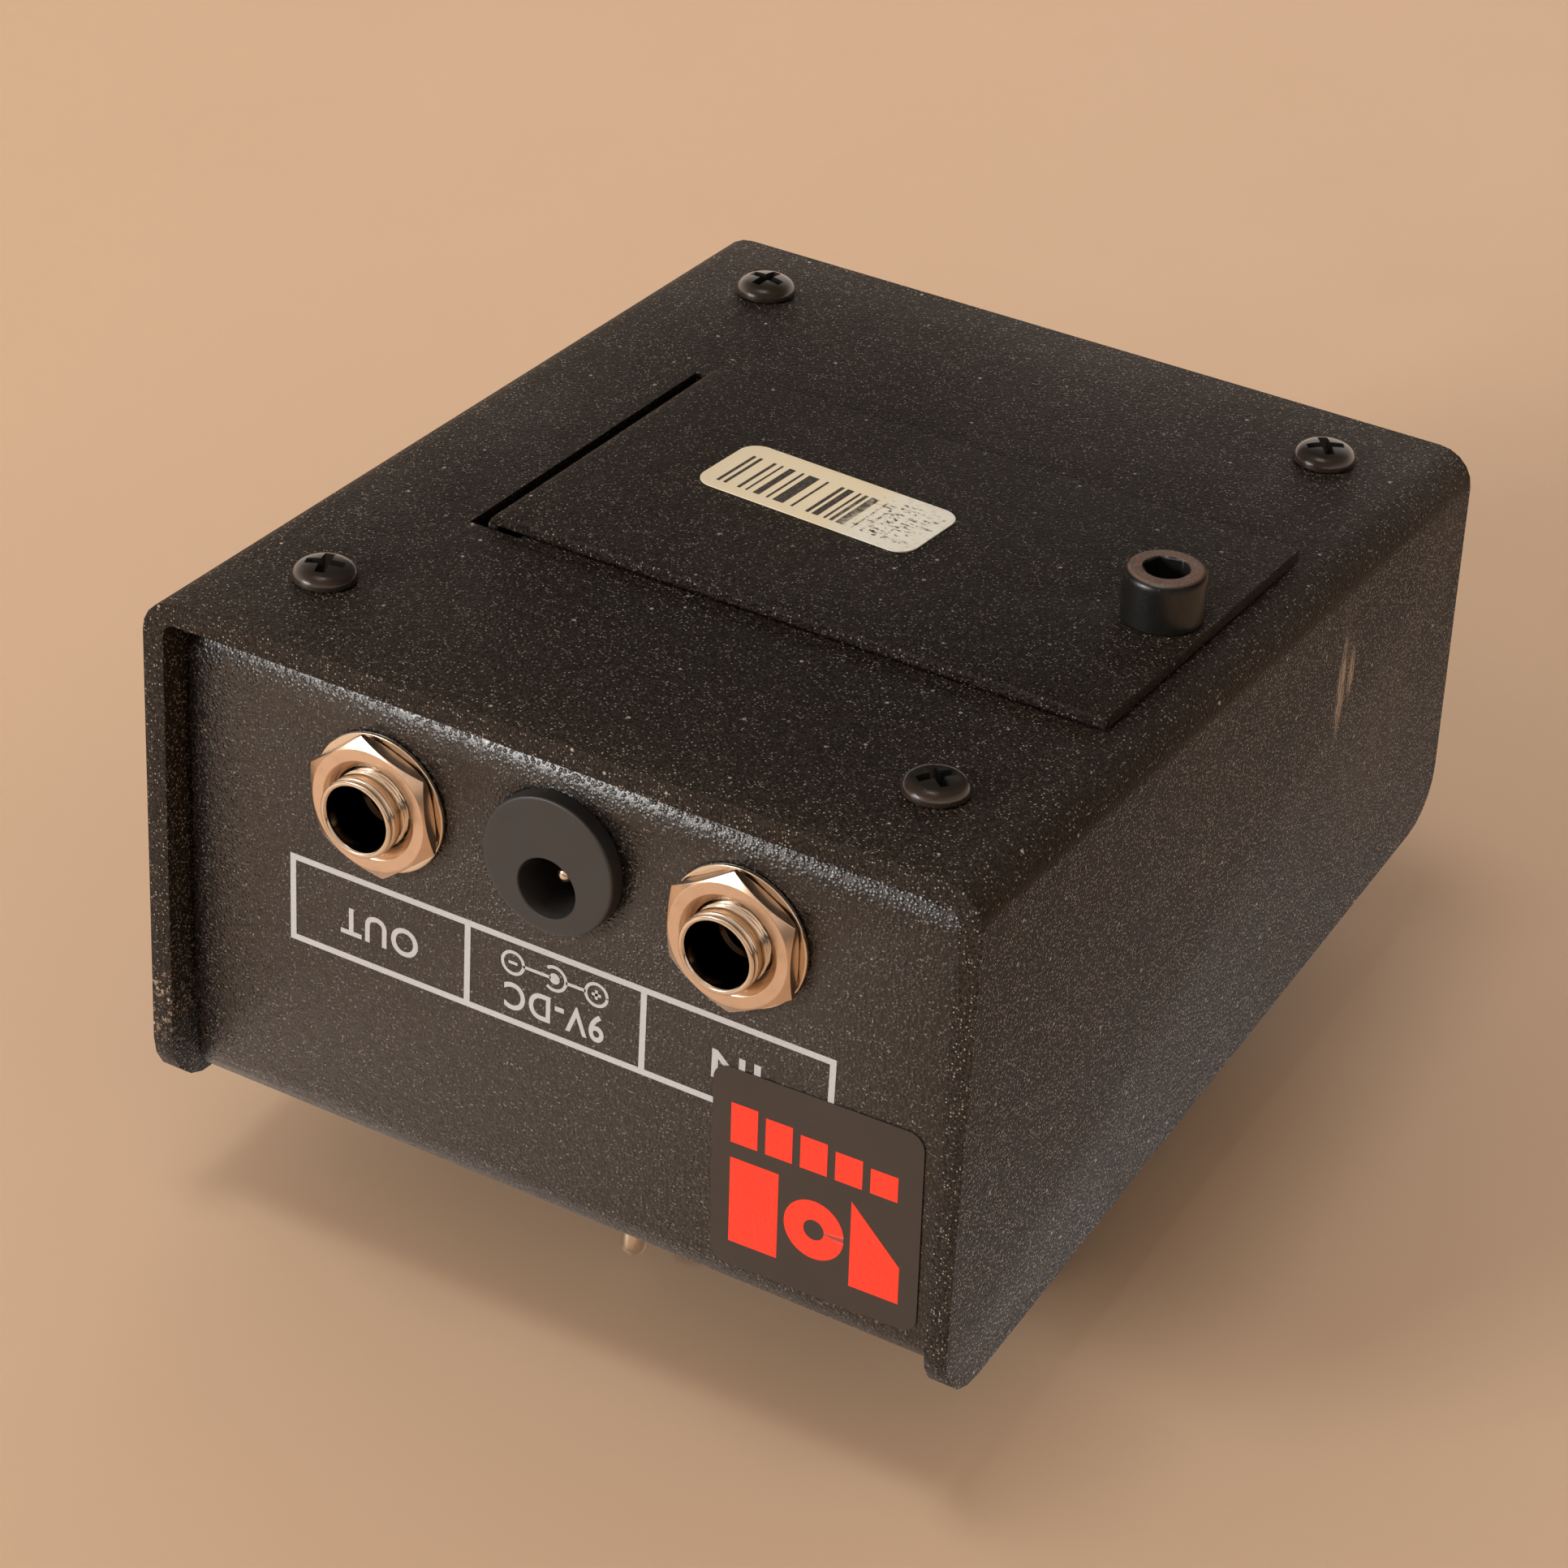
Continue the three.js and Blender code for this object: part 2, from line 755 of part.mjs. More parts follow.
function electrolytic() {
  return turnedUp(
    [
      [0, -11],
      [2.9, -11],
      [3.15, -10.7],
      [3.15, -1.9],
      [2.85, -1.5],
      [3.15, -1.1],
      [3.15, 0],
      [0, 0],
    ],
    20,
  );
}

function resistor() {
  const body = turned(
    [
      [0, -3.1],
      [1, -3.1],
      [1.2, -2.4],
      [0.95, -1.7],
      [0.95, 1.7],
      [1.2, 2.4],
      [1, 3.1],
      [0, 3.1],
    ],
    12,
  ).translate(0, 0, -1.6);
  const leg = (y) => box(0.6, 2.4, 0.6, 0, y, -1.6);
  const foot = (y) => box(0.6, 0.6, 1.9, 0, y, -0.95);
  return join(body, leg(-3.8), leg(3.8), foot(-4.9), foot(4.9));
}

function operationalAmplifier() {
  const body = box(9.6, 6.4, 3.3, 0, 0, -2.6);
  const pins = [-1, 1].flatMap((side) => [-1.5, -0.5, 0.5, 1.5].map((step) => [2.54 * step, 3.6 * side]));
  return join(body, ...pins.map(([x, y]) => box(0.8, 1, 2.8, x, y, -1.4)));
}

// Assembly

const finishes = {
  coarseCoat: { color: 0x1d1a18, roughness: 0.78, metalness: 0.1 },
  leatherCoat: { color: 0x242120, roughness: 0.5, metalness: 0.1 },
  blackOxide: { color: 0x161412, roughness: 0.35, metalness: 0.9 },
  nickel: { color: 0xcbb8a0, roughness: 0.18, metalness: 1 },
  steel: { color: 0x9a9a98, roughness: 0.4, metalness: 1 },
  brass: { color: 0xb8954a, roughness: 0.3, metalness: 1 },
  blackPlastic: { color: 0x2a2725, roughness: 0.6, metalness: 0 },
  knobPlastic: { color: 0x121212, roughness: 0.4, metalness: 0 },
  creamPaper: { color: 0xe6d3b0, roughness: 0.7, metalness: 0 },
  darkSticker: { color: 0x2c241e, roughness: 0.35, metalness: 0 },
  redLens: { color: 0xb01010, roughness: 0.15, metalness: 0 },
  board: { color: 0x1f4a2c, roughness: 0.5, metalness: 0 },
  phenolic: { color: 0x6b4526, roughness: 0.6, metalness: 0 },
  filmBlock: { color: 0x8c2f1e, roughness: 0.5, metalness: 0 },
  sleeveBlue: { color: 0x1b2a55, roughness: 0.4, metalness: 0 },
  resistorTan: { color: 0xc8a878, roughness: 0.6, metalness: 0 },
  batteryCan: { color: 0x30343a, roughness: 0.4, metalness: 0.5 },
  redLead: { color: 0xa01818, roughness: 0.5, metalness: 0 },
  blackLead: { color: 0x181818, roughness: 0.5, metalness: 0 },
};

function piece(parent, name, geometry, finish, place = [0, 0, 0]) {
  const mesh = new THREE.Mesh(geometry, new THREE.MeshStandardMaterial(finishes[finish]));
  mesh.name = name;
  mesh.position.set(...place);
  parent.add(mesh);
  return mesh;
}

const pedal = new THREE.Group();
const casework = new THREE.Group();
casework.position.z = lift;
casework.add(panel);
pedal.add(casework);

function addCase() {
  piece(casework, "base_cover", baseCover(), "coarseCoat");
  piece(casework, "chassis", chassis(), "leatherCoat");
  coverScrews.forEach(({ x, y }, i) => {
    piece(casework, `cover_screw_${i + 1}`, coverScrew(0.5 * i), "blackOxide", [x, y, 0]);
  });
}

function addDoor() {
  piece(casework, "battery_door", batteryDoor(), "coarseCoat", [0, doorMiddle, 0]);
  piece(casework, "door_screw", doorScrew(), "blackOxide", [doorScrewX, doorMiddle, 0]);
  piece(casework, "door_nut", doorNut(), "steel", [doorScrewX, doorMiddle, 0]);
  const labelHeight = doorOuter - coatGap / 2 - stickerSheet;
  const labelPlace = [labelSpot.x, labelSpot.y, labelHeight];
  const label = piece(casework, "id_label", slab(labelSize), "creamPaper", labelPlace);
  label.rotation.z = labelSpot.turn;
}

function addSticker() {
  const upright = slab(stickerSize).applyMatrix4(acrossY);
  const place = [stickerSpot.x, rearFace + coatGap / 2 + stickerSheet, stickerSpot.z];
  const sticker = piece(casework, "maker_sticker", upright, "darkSticker", place);
  sticker.rotation.y = stickerSpot.turn;
}

function addBattery() {
  const middle = batteryLow + batterySize.z / 2;
  piece(casework, "battery", battery(), "batteryCan", [batteryX, doorMiddle, middle]);
  const snapX = batteryEnd + seatGap + snapThickness / 2;
  piece(casework, "battery_snap", batterySnap(), "blackPlastic", [snapX, doorMiddle, middle]);
  const boardLow = panelHeight(0) - boardUnder - leadRadius - 1.5;
  const route = (y, reach) => [
    [snapX, doorMiddle + y, middle + 6 + seatGap],
    [snapX + 0.6, doorMiddle + y, middle + 10],
    [snapX + 2, doorMiddle + 1.5 * y, (middle + boardLow) / 2 + 3],
    [snapX - reach, doorMiddle + 1.6 * y, boardLow - 5],
    [snapX - reach, doorMiddle + 1.6 * y, boardLow],
  ];
  piece(casework, "battery_lead_red", lead(route(4, 2)), "redLead");
  piece(casework, "battery_lead_black", lead(route(-4, 4)), "blackLead");
}

function addJack(name, x, turn) {
  const jack = new THREE.Group();
  jack.position.set(x, rearFace, jackHeight);
  casework.add(jack);
  piece(jack, `${name}_sleeve`, jackSleeve(), "nickel");
  piece(jack, `${name}_washer`, rearWasher(), "nickel", [0, coatGap, 0]);
  piece(jack, `${name}_nut`, rearNut(turn), "nickel", [0, washerSheet + 2 * coatGap, 0]);
  piece(jack, `${name}_wafer`, jackWafer(), "phenolic");
  piece(jack, `${name}_tip_spring`, jackSpring(), "brass");
  const up = panelHeight(boardRear) - boardUnder - leadRadius - 1.8 - jackHeight;
  const route = [
    [0, -14, 10.2],
    [0, -14.5, 13],
    [x * 0.05, -19, up - 8],
    [0, boardRear - 3 - rearFace, up - 4],
    [0, boardRear - 3.5 - rearFace, up],
  ];
  piece(jack, `${name}_lead`, lead(route), "blackLead");
}

function addInlet() {
  const place = [0, rearFace, inletHeight];
  piece(casework, "dc_inlet_body", inletBody(), "blackPlastic", place);
  piece(casework, "dc_inlet_pin", inletPinPiece(), "nickel", [0, rearFace, inletHeight + inletOffset]);
  piece(casework, "dc_inlet_nut", inletNut(), "blackPlastic", place);
}

function addKnobs() {
  ["left", "middle", "right"].forEach((side, i) => {
    const place = [knobPlaces[i], knobRow, 0];
    piece(panel, `pot_${side}_body`, potBody(), "steel", place);
    piece(panel, `pot_${side}_shaft`, potShaft(), "steel", place);
    piece(panel, `knob_${side}`, knob(), "knobPlastic", place);
    const nut = hexNut(10, 2, potBush + seatGap);
    piece(panel, `pot_${side}_nut`, nut, "nickel", [knobPlaces[i], knobRow, seatGap]);
  });
}

function addFootswitch() {
  const place = [0, switchRow, 0];
  piece(panel, "footswitch_body", footswitchBody(), "steel", place);
  const washer = turnedUp(ring(8.6, switchBush + seatGap, seatGap, 1.2));
  const nut = hexNut(15, 2.6, switchBush + seatGap);
  piece(panel, "footswitch_washer", washer, "nickel", place);
  piece(panel, "footswitch_nut", nut, "nickel", [0, switchRow, 1.2 + seatGap]);
  piece(panel, "footswitch_plunger", footswitchPlunger(), "nickel", place);
}

function addToggle() {
  const nut = hexNut(8, 1.8, toggleBush + seatGap, 0.4);
  piece(panel, "toggle_body", toggleBody(), "steel", [toggleX, toggleRow, 0]);
  piece(panel, "toggle_nut", nut, "nickel", [toggleX, toggleRow, seatGap]);
  const lever = piece(panel, "toggle_lever", toggleLever(), "nickel", [toggleX, toggleRow, togglePivot]);
  lever.rotation.x = leverTilt;
}

function addLamp() {
  piece(panel, "lamp_bezel", lampBezel(), "nickel", [0, lampRow, 0]);
  piece(panel, "lamp", lamp(), "redLens", [0, lampRow, 0]);
}

function addBoard() {
  const onBoard = (name, geometry, finish, x, y) => {
    piece(panel, name, geometry, finish, [x, boardMiddle + y, -boardUnder - seatGap]);
  };
  piece(panel, "circuit_board", circuitBoard(), "board");
  onBoard("op_amp", operationalAmplifier(), "blackPlastic", 0, -1.5);
  [-1, 1].forEach((side, i) => {
    const block = box(7.2, 3.4, 6.8, 0, 0, -3.4);
    onBoard(`electrolytic_cap_${i + 1}`, electrolytic(), "sleeveBlue", 14 * side, 0.5);
    onBoard(`film_cap_${i + 1}`, block, "filmBlock", 26 * side, 10.5);
    onBoard(`resistor_${i + 1}`, resistor(), "resistorTan", 8 * side, -13.5);
  });
}

addCase();
addDoor();
addSticker();
addBattery();
addJack("jack_in", jackSide, nutTurn.in);
addJack("jack_out", -jackSide, nutTurn.out);
addInlet();
addKnobs();
addFootswitch();
addToggle();
addLamp();
addBoard();

export default pedal;
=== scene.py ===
import json
import math

import bmesh
import bpy
from mathutils import Matrix, Vector


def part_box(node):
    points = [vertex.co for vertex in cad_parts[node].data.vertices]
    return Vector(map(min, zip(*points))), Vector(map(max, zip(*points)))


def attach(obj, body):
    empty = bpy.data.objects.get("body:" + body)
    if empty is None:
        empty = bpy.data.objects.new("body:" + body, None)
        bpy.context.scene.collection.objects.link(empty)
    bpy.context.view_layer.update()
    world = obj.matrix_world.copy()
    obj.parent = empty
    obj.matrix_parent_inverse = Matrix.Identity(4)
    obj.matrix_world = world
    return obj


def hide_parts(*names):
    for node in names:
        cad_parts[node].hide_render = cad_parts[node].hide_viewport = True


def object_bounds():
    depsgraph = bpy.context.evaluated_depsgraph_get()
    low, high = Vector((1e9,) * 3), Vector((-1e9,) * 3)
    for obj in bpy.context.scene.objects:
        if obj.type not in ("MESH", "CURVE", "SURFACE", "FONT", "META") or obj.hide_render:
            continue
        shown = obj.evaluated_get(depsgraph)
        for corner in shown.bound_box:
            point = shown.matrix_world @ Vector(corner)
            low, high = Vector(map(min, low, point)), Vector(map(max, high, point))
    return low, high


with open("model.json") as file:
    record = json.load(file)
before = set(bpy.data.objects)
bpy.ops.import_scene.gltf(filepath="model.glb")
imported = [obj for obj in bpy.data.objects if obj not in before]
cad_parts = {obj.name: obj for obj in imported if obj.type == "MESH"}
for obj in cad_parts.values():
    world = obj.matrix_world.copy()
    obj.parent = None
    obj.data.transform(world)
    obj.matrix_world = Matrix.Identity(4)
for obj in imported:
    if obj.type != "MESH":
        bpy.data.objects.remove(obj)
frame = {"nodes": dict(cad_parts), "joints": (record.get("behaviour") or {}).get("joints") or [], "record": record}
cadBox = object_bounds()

# A foot pedal in a folded steel case, standing on its base. Sizes are in millimetres unless a note says
# otherwise; each piece is built in its own frame, with z out of the face that it sits on.
mm = 0.001
nodes = frame["nodes"]


def jointNamed(name):
    return next(joint for joint in frame["joints"] if joint["name"] == name)


panelJoint = jointNamed("middle_knob_turn")
panelOut = Vector(panelJoint["axis"])


def middleOf(node):
    low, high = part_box(node)
    return (low + high) / 2


# A frame whose z is the outward direction and whose x stays along the case's own x
def facing(origin, outward):
    out = Vector(outward).normalized()
    across = Vector((1, 0, 0))
    place = Matrix((across, out.cross(across), out)).transposed().to_4x4()
    place.translation = origin
    return place


camera = {
    "place": (0.224647, 0.405990, -0.234511),
    "aim": (0.013494, 0.032837, 0.022726),
    "roll": -176.71182,
    "sensor": 36,
    "lens": 103.68,
}


def addCamera():
    seen = bpy.data.cameras.new("camera")
    seen.sensor_width = camera["sensor"]
    seen.lens = camera["lens"]
    seen.clip_start = 0.01
    seen.clip_end = 20
    seen.dof.use_dof = False
    holder = bpy.data.objects.new("camera", seen)
    bpy.context.scene.collection.objects.link(holder)
    place = Vector(camera["place"])
    line = Vector(camera["aim"]) - place
    roll = Matrix.Rotation(math.radians(camera["roll"]), 3, "Z")
    turn = line.to_track_quat("-Z", "Y").to_matrix() @ roll
    holder.matrix_world = Matrix.Translation(place) @ turn.to_4x4()
    bpy.context.scene.camera = holder
    bpy.context.scene.view_settings.view_transform = "Standard"


# A socket that sums, products and comparisons can be written on
class Wire:
    def __init__(self, finish, socket):
        self.finish = finish
        self.socket = socket

    def maths(self, operation, first, second=0.0):
        return self.finish.node("Math", {"operation": operation}, {0: first, 1: second})

    def __add__(self, other):
        return self.maths("ADD", self, other)

    def __sub__(self, other):
        return self.maths("SUBTRACT", self, other)

    def __mul__(self, other):
        return self.maths("MULTIPLY", self, other)

    def __rsub__(self, other):
        return self.maths("SUBTRACT", other, self)

    def __gt__(self, other):
        return self.maths("GREATER_THAN", self, other)

    def __lt__(self, other):
        return self.maths("LESS_THAN", self, other)

    def __abs__(self):
        return self.maths("ABSOLUTE", self)

    __radd__ = __add__
    __rmul__ = __mul__


# A material with one shader, and the nodes that its colours and bumps are made from
class Finish:
    def __init__(self, name, **values):
        self.material = bpy.data.materials.new(name)
        self.material.use_nodes = True
        self.tree = self.material.node_tree
        self.tree.nodes.clear()
        output = self.tree.nodes.new("ShaderNodeOutputMaterial")
        self.shader = self.tree.nodes.new("ShaderNodeBsdfPrincipled")
        self.tree.links.new(self.shader.outputs[0], output.inputs["Surface"])
        for name, value in values.items():
            self.put(name.replace("_", " "), value)
        place = self.node("TexCoord", out="Object")
        self.place = self.node("VectorMath", {"operation": "SCALE"}, {"Vector": place, "Scale": 1 / mm})

    def node(self, kind, settings=None, sockets=None, out=0):
        made = self.tree.nodes.new("ShaderNode" + kind)
        for name, value in (settings or {}).items():
            setattr(made, name, value)
        for name, value in (sockets or {}).items():
            if isinstance(value, Wire):
                self.tree.links.new(value.socket, made.inputs[name])
            else:
                made.inputs[name].default_value = value
        return Wire(self, made.outputs[out])

    def put(self, name, value):
        socket = self.shader.inputs[name]
        if isinstance(value, Wire):
            self.tree.links.new(value.socket, socket)
        elif socket.type == "RGBA":
            socket.default_value = (*value, 1)
        else:
            socket.default_value = value

    # Grain of so many lumps to the millimetre
    def noise(self, perMm, detail=2.0, roughness=0.5, stretch=None, twist=0.0):
        sockets = {"Vector": self.stretched(stretch), "Scale": perMm, "Detail": detail,
                   "Roughness": roughness, "Distortion": twist}
        return self.node("TexNoise", None, sockets, "Fac")

    def cells(self, perMm, feature="F1", jumble=1.0, stretch=None, out="Distance"):
        sockets = {"Vector": self.stretched(stretch), "Scale": perMm, "Randomness": jumble}
        return self.node("TexVoronoi", {"feature": feature}, sockets, out)

    # One random number for each cell
    def draw(self, perMm, channel):
        return self.node("SeparateColor", None, {0: self.cells(perMm, out="Color")}, channel)

    def stretched(self, by):
        if by is None:
            return self.place
        return self.node("VectorMath", {"operation": "MULTIPLY"}, {0: self.place, 1: by})

    def step(self, value, low, high, bottom=0.0, top=1.0):
        sockets = {"Value": value, "From Min": low, "From Max": high, "To Min": bottom, "To Max": top}
        return self.node("MapRange", {"interpolation_type": "SMOOTHSTEP"}, sockets)

    def blend(self, share, first, second):
        first = first if isinstance(first, Wire) else (*first, 1)
        second = second if isinstance(second, Wire) else (*second, 1)
        return self.node("Mix", {"data_type": "RGBA"}, {0: share, 6: first, 7: second}, 2)

    def axis(self, name):
        return self.node("SeparateXYZ", None, {0: self.place}, name)

    # Distance from the piece's own axis
    def radius(self):
        flat = self.node("VectorMath", {"operation": "MULTIPLY"}, {0: self.place, 1: (1, 1, 0)})
        return self.node("VectorMath", {"operation": "LENGTH"}, {0: flat}, "Value")

    # A soft round patch, or a streak where an axis counts for less
    def spot(self, centre, size, shares=(1, 1, 1)):
        there = tuple(part * share for part, share in zip(centre, shares))
        here = self.stretched(shares)
        gone = self.node("VectorMath", {"operation": "DISTANCE"}, {0: here, 1: there}, "Value")
        return self.step(gone, size, size * 0.3)

    # Layers of height, depth in millimetres and strength, one on the other
    def bumps(self, *layers):
        normal = None
        for height, depth, strength in layers:
            sockets = {"Height": height, "Distance": depth * mm, "Strength": strength}
            if normal is not None:
                sockets["Normal"] = normal
            normal = self.node("Bump", None, sockets)
        self.put("Normal", normal)


coarse = {
    "ground": (0.0092, 0.0060, 0.0038),
    "pale": (0.037, 0.025, 0.0165),
    "paintedGlint": (0.62, 0.53, 0.43),
    "dust": (0.50, 0.45, 0.39),
    "scuff": (0.40, 0.29, 0.20),
    "palePatchColour": (0.075, 0.055, 0.040),
    "grainPerMm": 3.3,
    "grainDepth": 0.16,
    "paintedGlintsPerMm": 3.1,
    "dustPerMm": 0.42,
    "chippedCorner": (-53, 60.6, 62),
    "dragLeft": (53.5, -27.5, 24.7),
    "dragRight": (53.5, -30, 24),
    "palePatchCentre": (53.5, -39, 40),
}


def coarseCoat():
    finish = Finish("coarseCoat", Metallic=0.0, Specular_IOR_Level=0.13)
    grain = finish.noise(coarse["grainPerMm"], 3, 0.62)
    lumps = finish.cells(coarse["grainPerMm"] * 0.8)
    drift = finish.noise(0.06, 2)
    # Grain tone: the coat is paler where the grain stands high, partly a random tone and partly a painted sheen on
    # the raised grain
    colour = finish.blend(finish.step(grain, 0.42, 0.66), coarse["ground"], coarse["pale"])
    # Painted glints: sparse bright specks put into the coat's colour as painted highlights, with the roughness
    # lowered there
    paintedGlintPick = finish.draw(coarse["paintedGlintsPerMm"], 0)
    paintedGlintMask = finish.step(paintedGlintPick, 0.50, 1.0) * finish.step(finish.cells(coarse["paintedGlintsPerMm"]), 0.42, 0.10)
    colour = finish.blend(paintedGlintMask * 0.70, colour, coarse["paintedGlint"])
    dustPick = finish.draw(coarse["dustPerMm"], 1)
    dust = (dustPick > 0.66) * finish.step(finish.cells(coarse["dustPerMm"]), 0.13, 0.05)
    colour = finish.blend(dust * 0.75, colour, coarse["dust"])
    worn = finish.step(finish.noise(0.9, 4, 0.7), 0.52, 0.62)
    scuff = finish.spot(coarse["chippedCorner"], 6) * worn
    drag = finish.step(finish.noise(2.6, 3, 0.6, stretch=(1, 1, 0.12)), 0.38, 0.52)
    longDrag = finish.spot(coarse["dragLeft"], 1.5, (1, 1, 0.17))
    drags = longDrag + finish.spot(coarse["dragRight"], 1.1, (1, 1, 0.25))
    # A soft paler blotchy patch, 15 mm across, on the right cheek
    palePatch = finish.spot(coarse["palePatchCentre"], 15) * finish.step(finish.noise(0.35, 3), 0.35, 0.65)
    colour = finish.blend(palePatch * 0.35, colour, coarse["palePatchColour"])
    colour = finish.blend(scuff * 0.8 + drags * drag * 0.85, colour, coarse["scuff"])
    finish.put("Base Color", colour)
    finish.put("Roughness", finish.step(drift, 0.3, 0.7, 0.56, 0.46) - paintedGlintMask * 0.18)
    finish.bumps((grain, coarse["grainDepth"], 1.0), (1 - lumps, coarse["grainDepth"] * 0.9, 1.0))
    return finish.material


leather = {
    "ground": (0.0062, 0.0042, 0.0034),
    "paleToneAndDomeSheen": (0.0165, 0.0122, 0.0104),
    "fleck": (0.33, 0.30, 0.28),
    "cellsPerMm": 2.1,
    "depth": 0.06,
}


def leatherCoat():
    finish = Finish("leatherCoat", Metallic=0.0, Specular_IOR_Level=0.72)
    warp = finish.noise(1.2, 2, twist=0.4)
    cell = finish.cells(leather["cellsPerMm"], jumble=0.95)
    small = finish.cells(leather["cellsPerMm"] * 2.3)
    dome = 1 - finish.step(cell, 0.05, 0.62)
    # The coat is paler on the top of each raised cell as a painted highlight, and paler at random with the warp
    # noise
    colour = finish.blend(dome * 0.6 + warp * 0.25, leather["ground"], leather["paleToneAndDomeSheen"])
    # Painted glints: small bright flecks in the coat's colour stand in for highlights off the grain
    grain = finish.step(finish.noise(3.4, 3, 0.6), 0.58, 0.68)
    fleck = grain * finish.step(finish.noise(0.8, 2), 0.30, 0.55)
    colour = finish.blend(fleck * 0.60, colour, leather["fleck"])
    dust = finish.step(finish.noise(0.7, 5, 0.75), 0.70, 0.8)
    finish.put("Base Color", finish.blend(dust * 0.25, colour, coarse["dust"]))
    finish.put("Roughness", finish.step(warp, 0.3, 0.7, 0.25, 0.34))
    finish.bumps((dome, leather["depth"], 1.0), (1 - small, leather["depth"] * 0.35, 0.7))
    return finish.material


oxide = {
    "black": (0.016, 0.0145, 0.013),
    "rust": (0.120, 0.052, 0.028),
    "pale": (0.17, 0.11, 0.075),
}


# Blackened steel, with rust beyond a radius and above a height of the piece
def blackOxide(name, rustFrom, rustTo, amount, floorFrom=-10, metallic=0.55, rough=0.16, gloss=0.8):
    finish = Finish(name, Metallic=metallic, Specular_IOR_Level=0.9, Coat_Weight=gloss, Coat_Roughness=0.07)
    patch = finish.step(finish.noise(0.9, 5, 0.65), 0.22, 0.46)
    rim = finish.step(finish.radius(), rustFrom, rustTo)
    high = finish.step(finish.axis("Z"), floorFrom - 0.25, floorFrom)
    rust = rim * patch * high * amount
    speck = finish.step(finish.noise(3.5, 3), 0.62, 0.72)
    tone = finish.blend(finish.step(finish.noise(4, 3), 0.4, 0.7), oxide["rust"], oxide["pale"])
    colour = finish.blend(rust, oxide["black"], tone)
    finish.put("Base Color", finish.blend(speck * 0.12, colour, oxide["pale"]))
    finish.put("Metallic", (1 - rust) * metallic)
    finish.put("Roughness", rust * 0.42 + rough + speck * 0.15)
    finish.bumps((finish.noise(6, 3), 0.03, 0.6), (patch, 0.02, 0.5))
    return finish.material


plating = {
    "nickel": (0.80, 0.70, 0.58),
    "nut": (0.74, 0.56, 0.42),
    "steel": (0.50, 0.49, 0.47),
    "brass": (0.62, 0.43, 0.17),
}


# Plate over metal; a bore that is named here is painted dark inside, below its mouth, as painted shade
def plated(name, colour, rough, spread=0.06, brushed=None, tarnish=0.12, bore=None):
    finish = Finish(name, Metallic=1.0)
    cloud = finish.noise(0.5, 4, 0.6)
    fine = finish.noise(9, 2, stretch=brushed)
    dull = tuple(part * 0.62 for part in colour)
    tone = finish.blend(finish.step(cloud, 0.5, 0.75) * tarnish * 3, colour, dull)
    if bore:
        # Painted shade: the bore's inside is darkened in colour below its mouth, where light does not reach
        paintedBoreShade = (finish.radius() < bore[0]) * finish.step(finish.axis("Z"), bore[1], bore[1] - 1.6)
        tone = finish.blend(paintedBoreShade, tone, (0.035, 0.024, 0.015))
    finish.put("Base Color", tone)
    finish.put("Roughness", cloud * spread + fine * spread + rough)
    finish.bumps((fine, 0.004, 0.5), (cloud, 0.02, 0.25))
    return finish.material


def moulded(name, colour, pale, rough=0.5, grain=0.02, coat=0.0):
    finish = Finish(name, Metallic=0.0, Coat_Weight=coat, Coat_Roughness=0.15)
    fine = finish.noise(5, 3, 0.6)
    cloud = finish.noise(0.35, 3)
    scratch = finish.step(finish.noise(1.1, 5, 0.7, stretch=(1, 7, 1)), 0.62, 0.7)
    finish.put("Base Color", finish.blend(cloud * 0.6 + scratch * 0.25, colour, pale))
    finish.put("Roughness", fine * 0.12 + rough)
    finish.bumps((fine, grain, 0.6))
    return finish.material


label = {
    "wide": 29.7,
    "tall": 12.4,
    "round": 2.5,
    "turn": -3,
    "film": (0.84, 0.68, 0.45),
    "worn": (0.86, 0.80, 0.68),
    "crease": (0.66, 0.56, 0.42),
    "ink": (0.030, 0.020, 0.015),
    "inkFrom": -12.6,
    "wornFrom": 5.2,
    "bars": (0.45, 0.5, 0.45, 1.5, 0.45, 0.7, 0.3, 0.8, 0.9, 0.9, 0.35, 0.6, 1.5, 1.0, 0.35, 1.7, 0.5, 0.4,
             0.9, 0.7, 0.35, 0.45, 0.5, 0.4, 1.1, 1.0, 0.3, 0.9, 0.45, 0.4, 1.3, 0.7, 0.4, 0.3),
}


# Bars of ink and gaps in turn, along the label; its far end is rubbed and flaked
def labelFilm():
    finish = Finish("labelFilm", Metallic=0.0, Specular_IOR_Level=0.35)
    along = finish.axis("X")
    across = finish.axis("Y")
    edge = 0
    bars = None
    for count, wide in enumerate(label["bars"]):
        if count % 2 == 0:
            middle = label["inkFrom"] + edge + wide / 2
            bar = abs(along - middle) < wide / 2
            bars = bar if bars is None else bars + bar
        edge += wide
    rub = finish.step(along + finish.noise(0.5, 3) * 5, label["wornFrom"], label["wornFrom"] + 5.5)
    flakes = finish.step(finish.noise(1.5, 5, 0.72, stretch=(0.7, 1, 1)), 0.42, 0.46)
    faint = finish.step(finish.noise(4.5, 3), 0.35, 0.5)
    inBand = abs(across + 0.6) < 3.9
    ink = bars * inBand * (1 - rub * flakes) * (faint * 0.12 + 0.88)
    crumbs = rub * (finish.noise(1.3, 4, 0.7, stretch=(0.6, 1.8, 1)) > 0.585) * (abs(across) < 4.4)
    paper = finish.blend(rub * 0.8 + finish.noise(0.25, 3) * 0.3, label["film"], label["worn"])
    creases = finish.step(finish.noise(1.0, 6, 0.75, twist=1.2), 0.55, 0.6)
    paper = finish.blend(creases * rub * 0.4, paper, label["crease"])
    inBars = finish.blend(ink, paper, label["ink"])
    finish.put("Base Color", finish.blend(crumbs * (along < 14) * 0.85, inBars, label["ink"]))
    finish.put("Roughness", rub * 0.2 + finish.noise(3, 2) * 0.15 + 0.42)
    finish.bumps((finish.noise(1.4, 3), 0.02, 0.5), (creases * rub, 0.03, 0.7))
    return finish.material


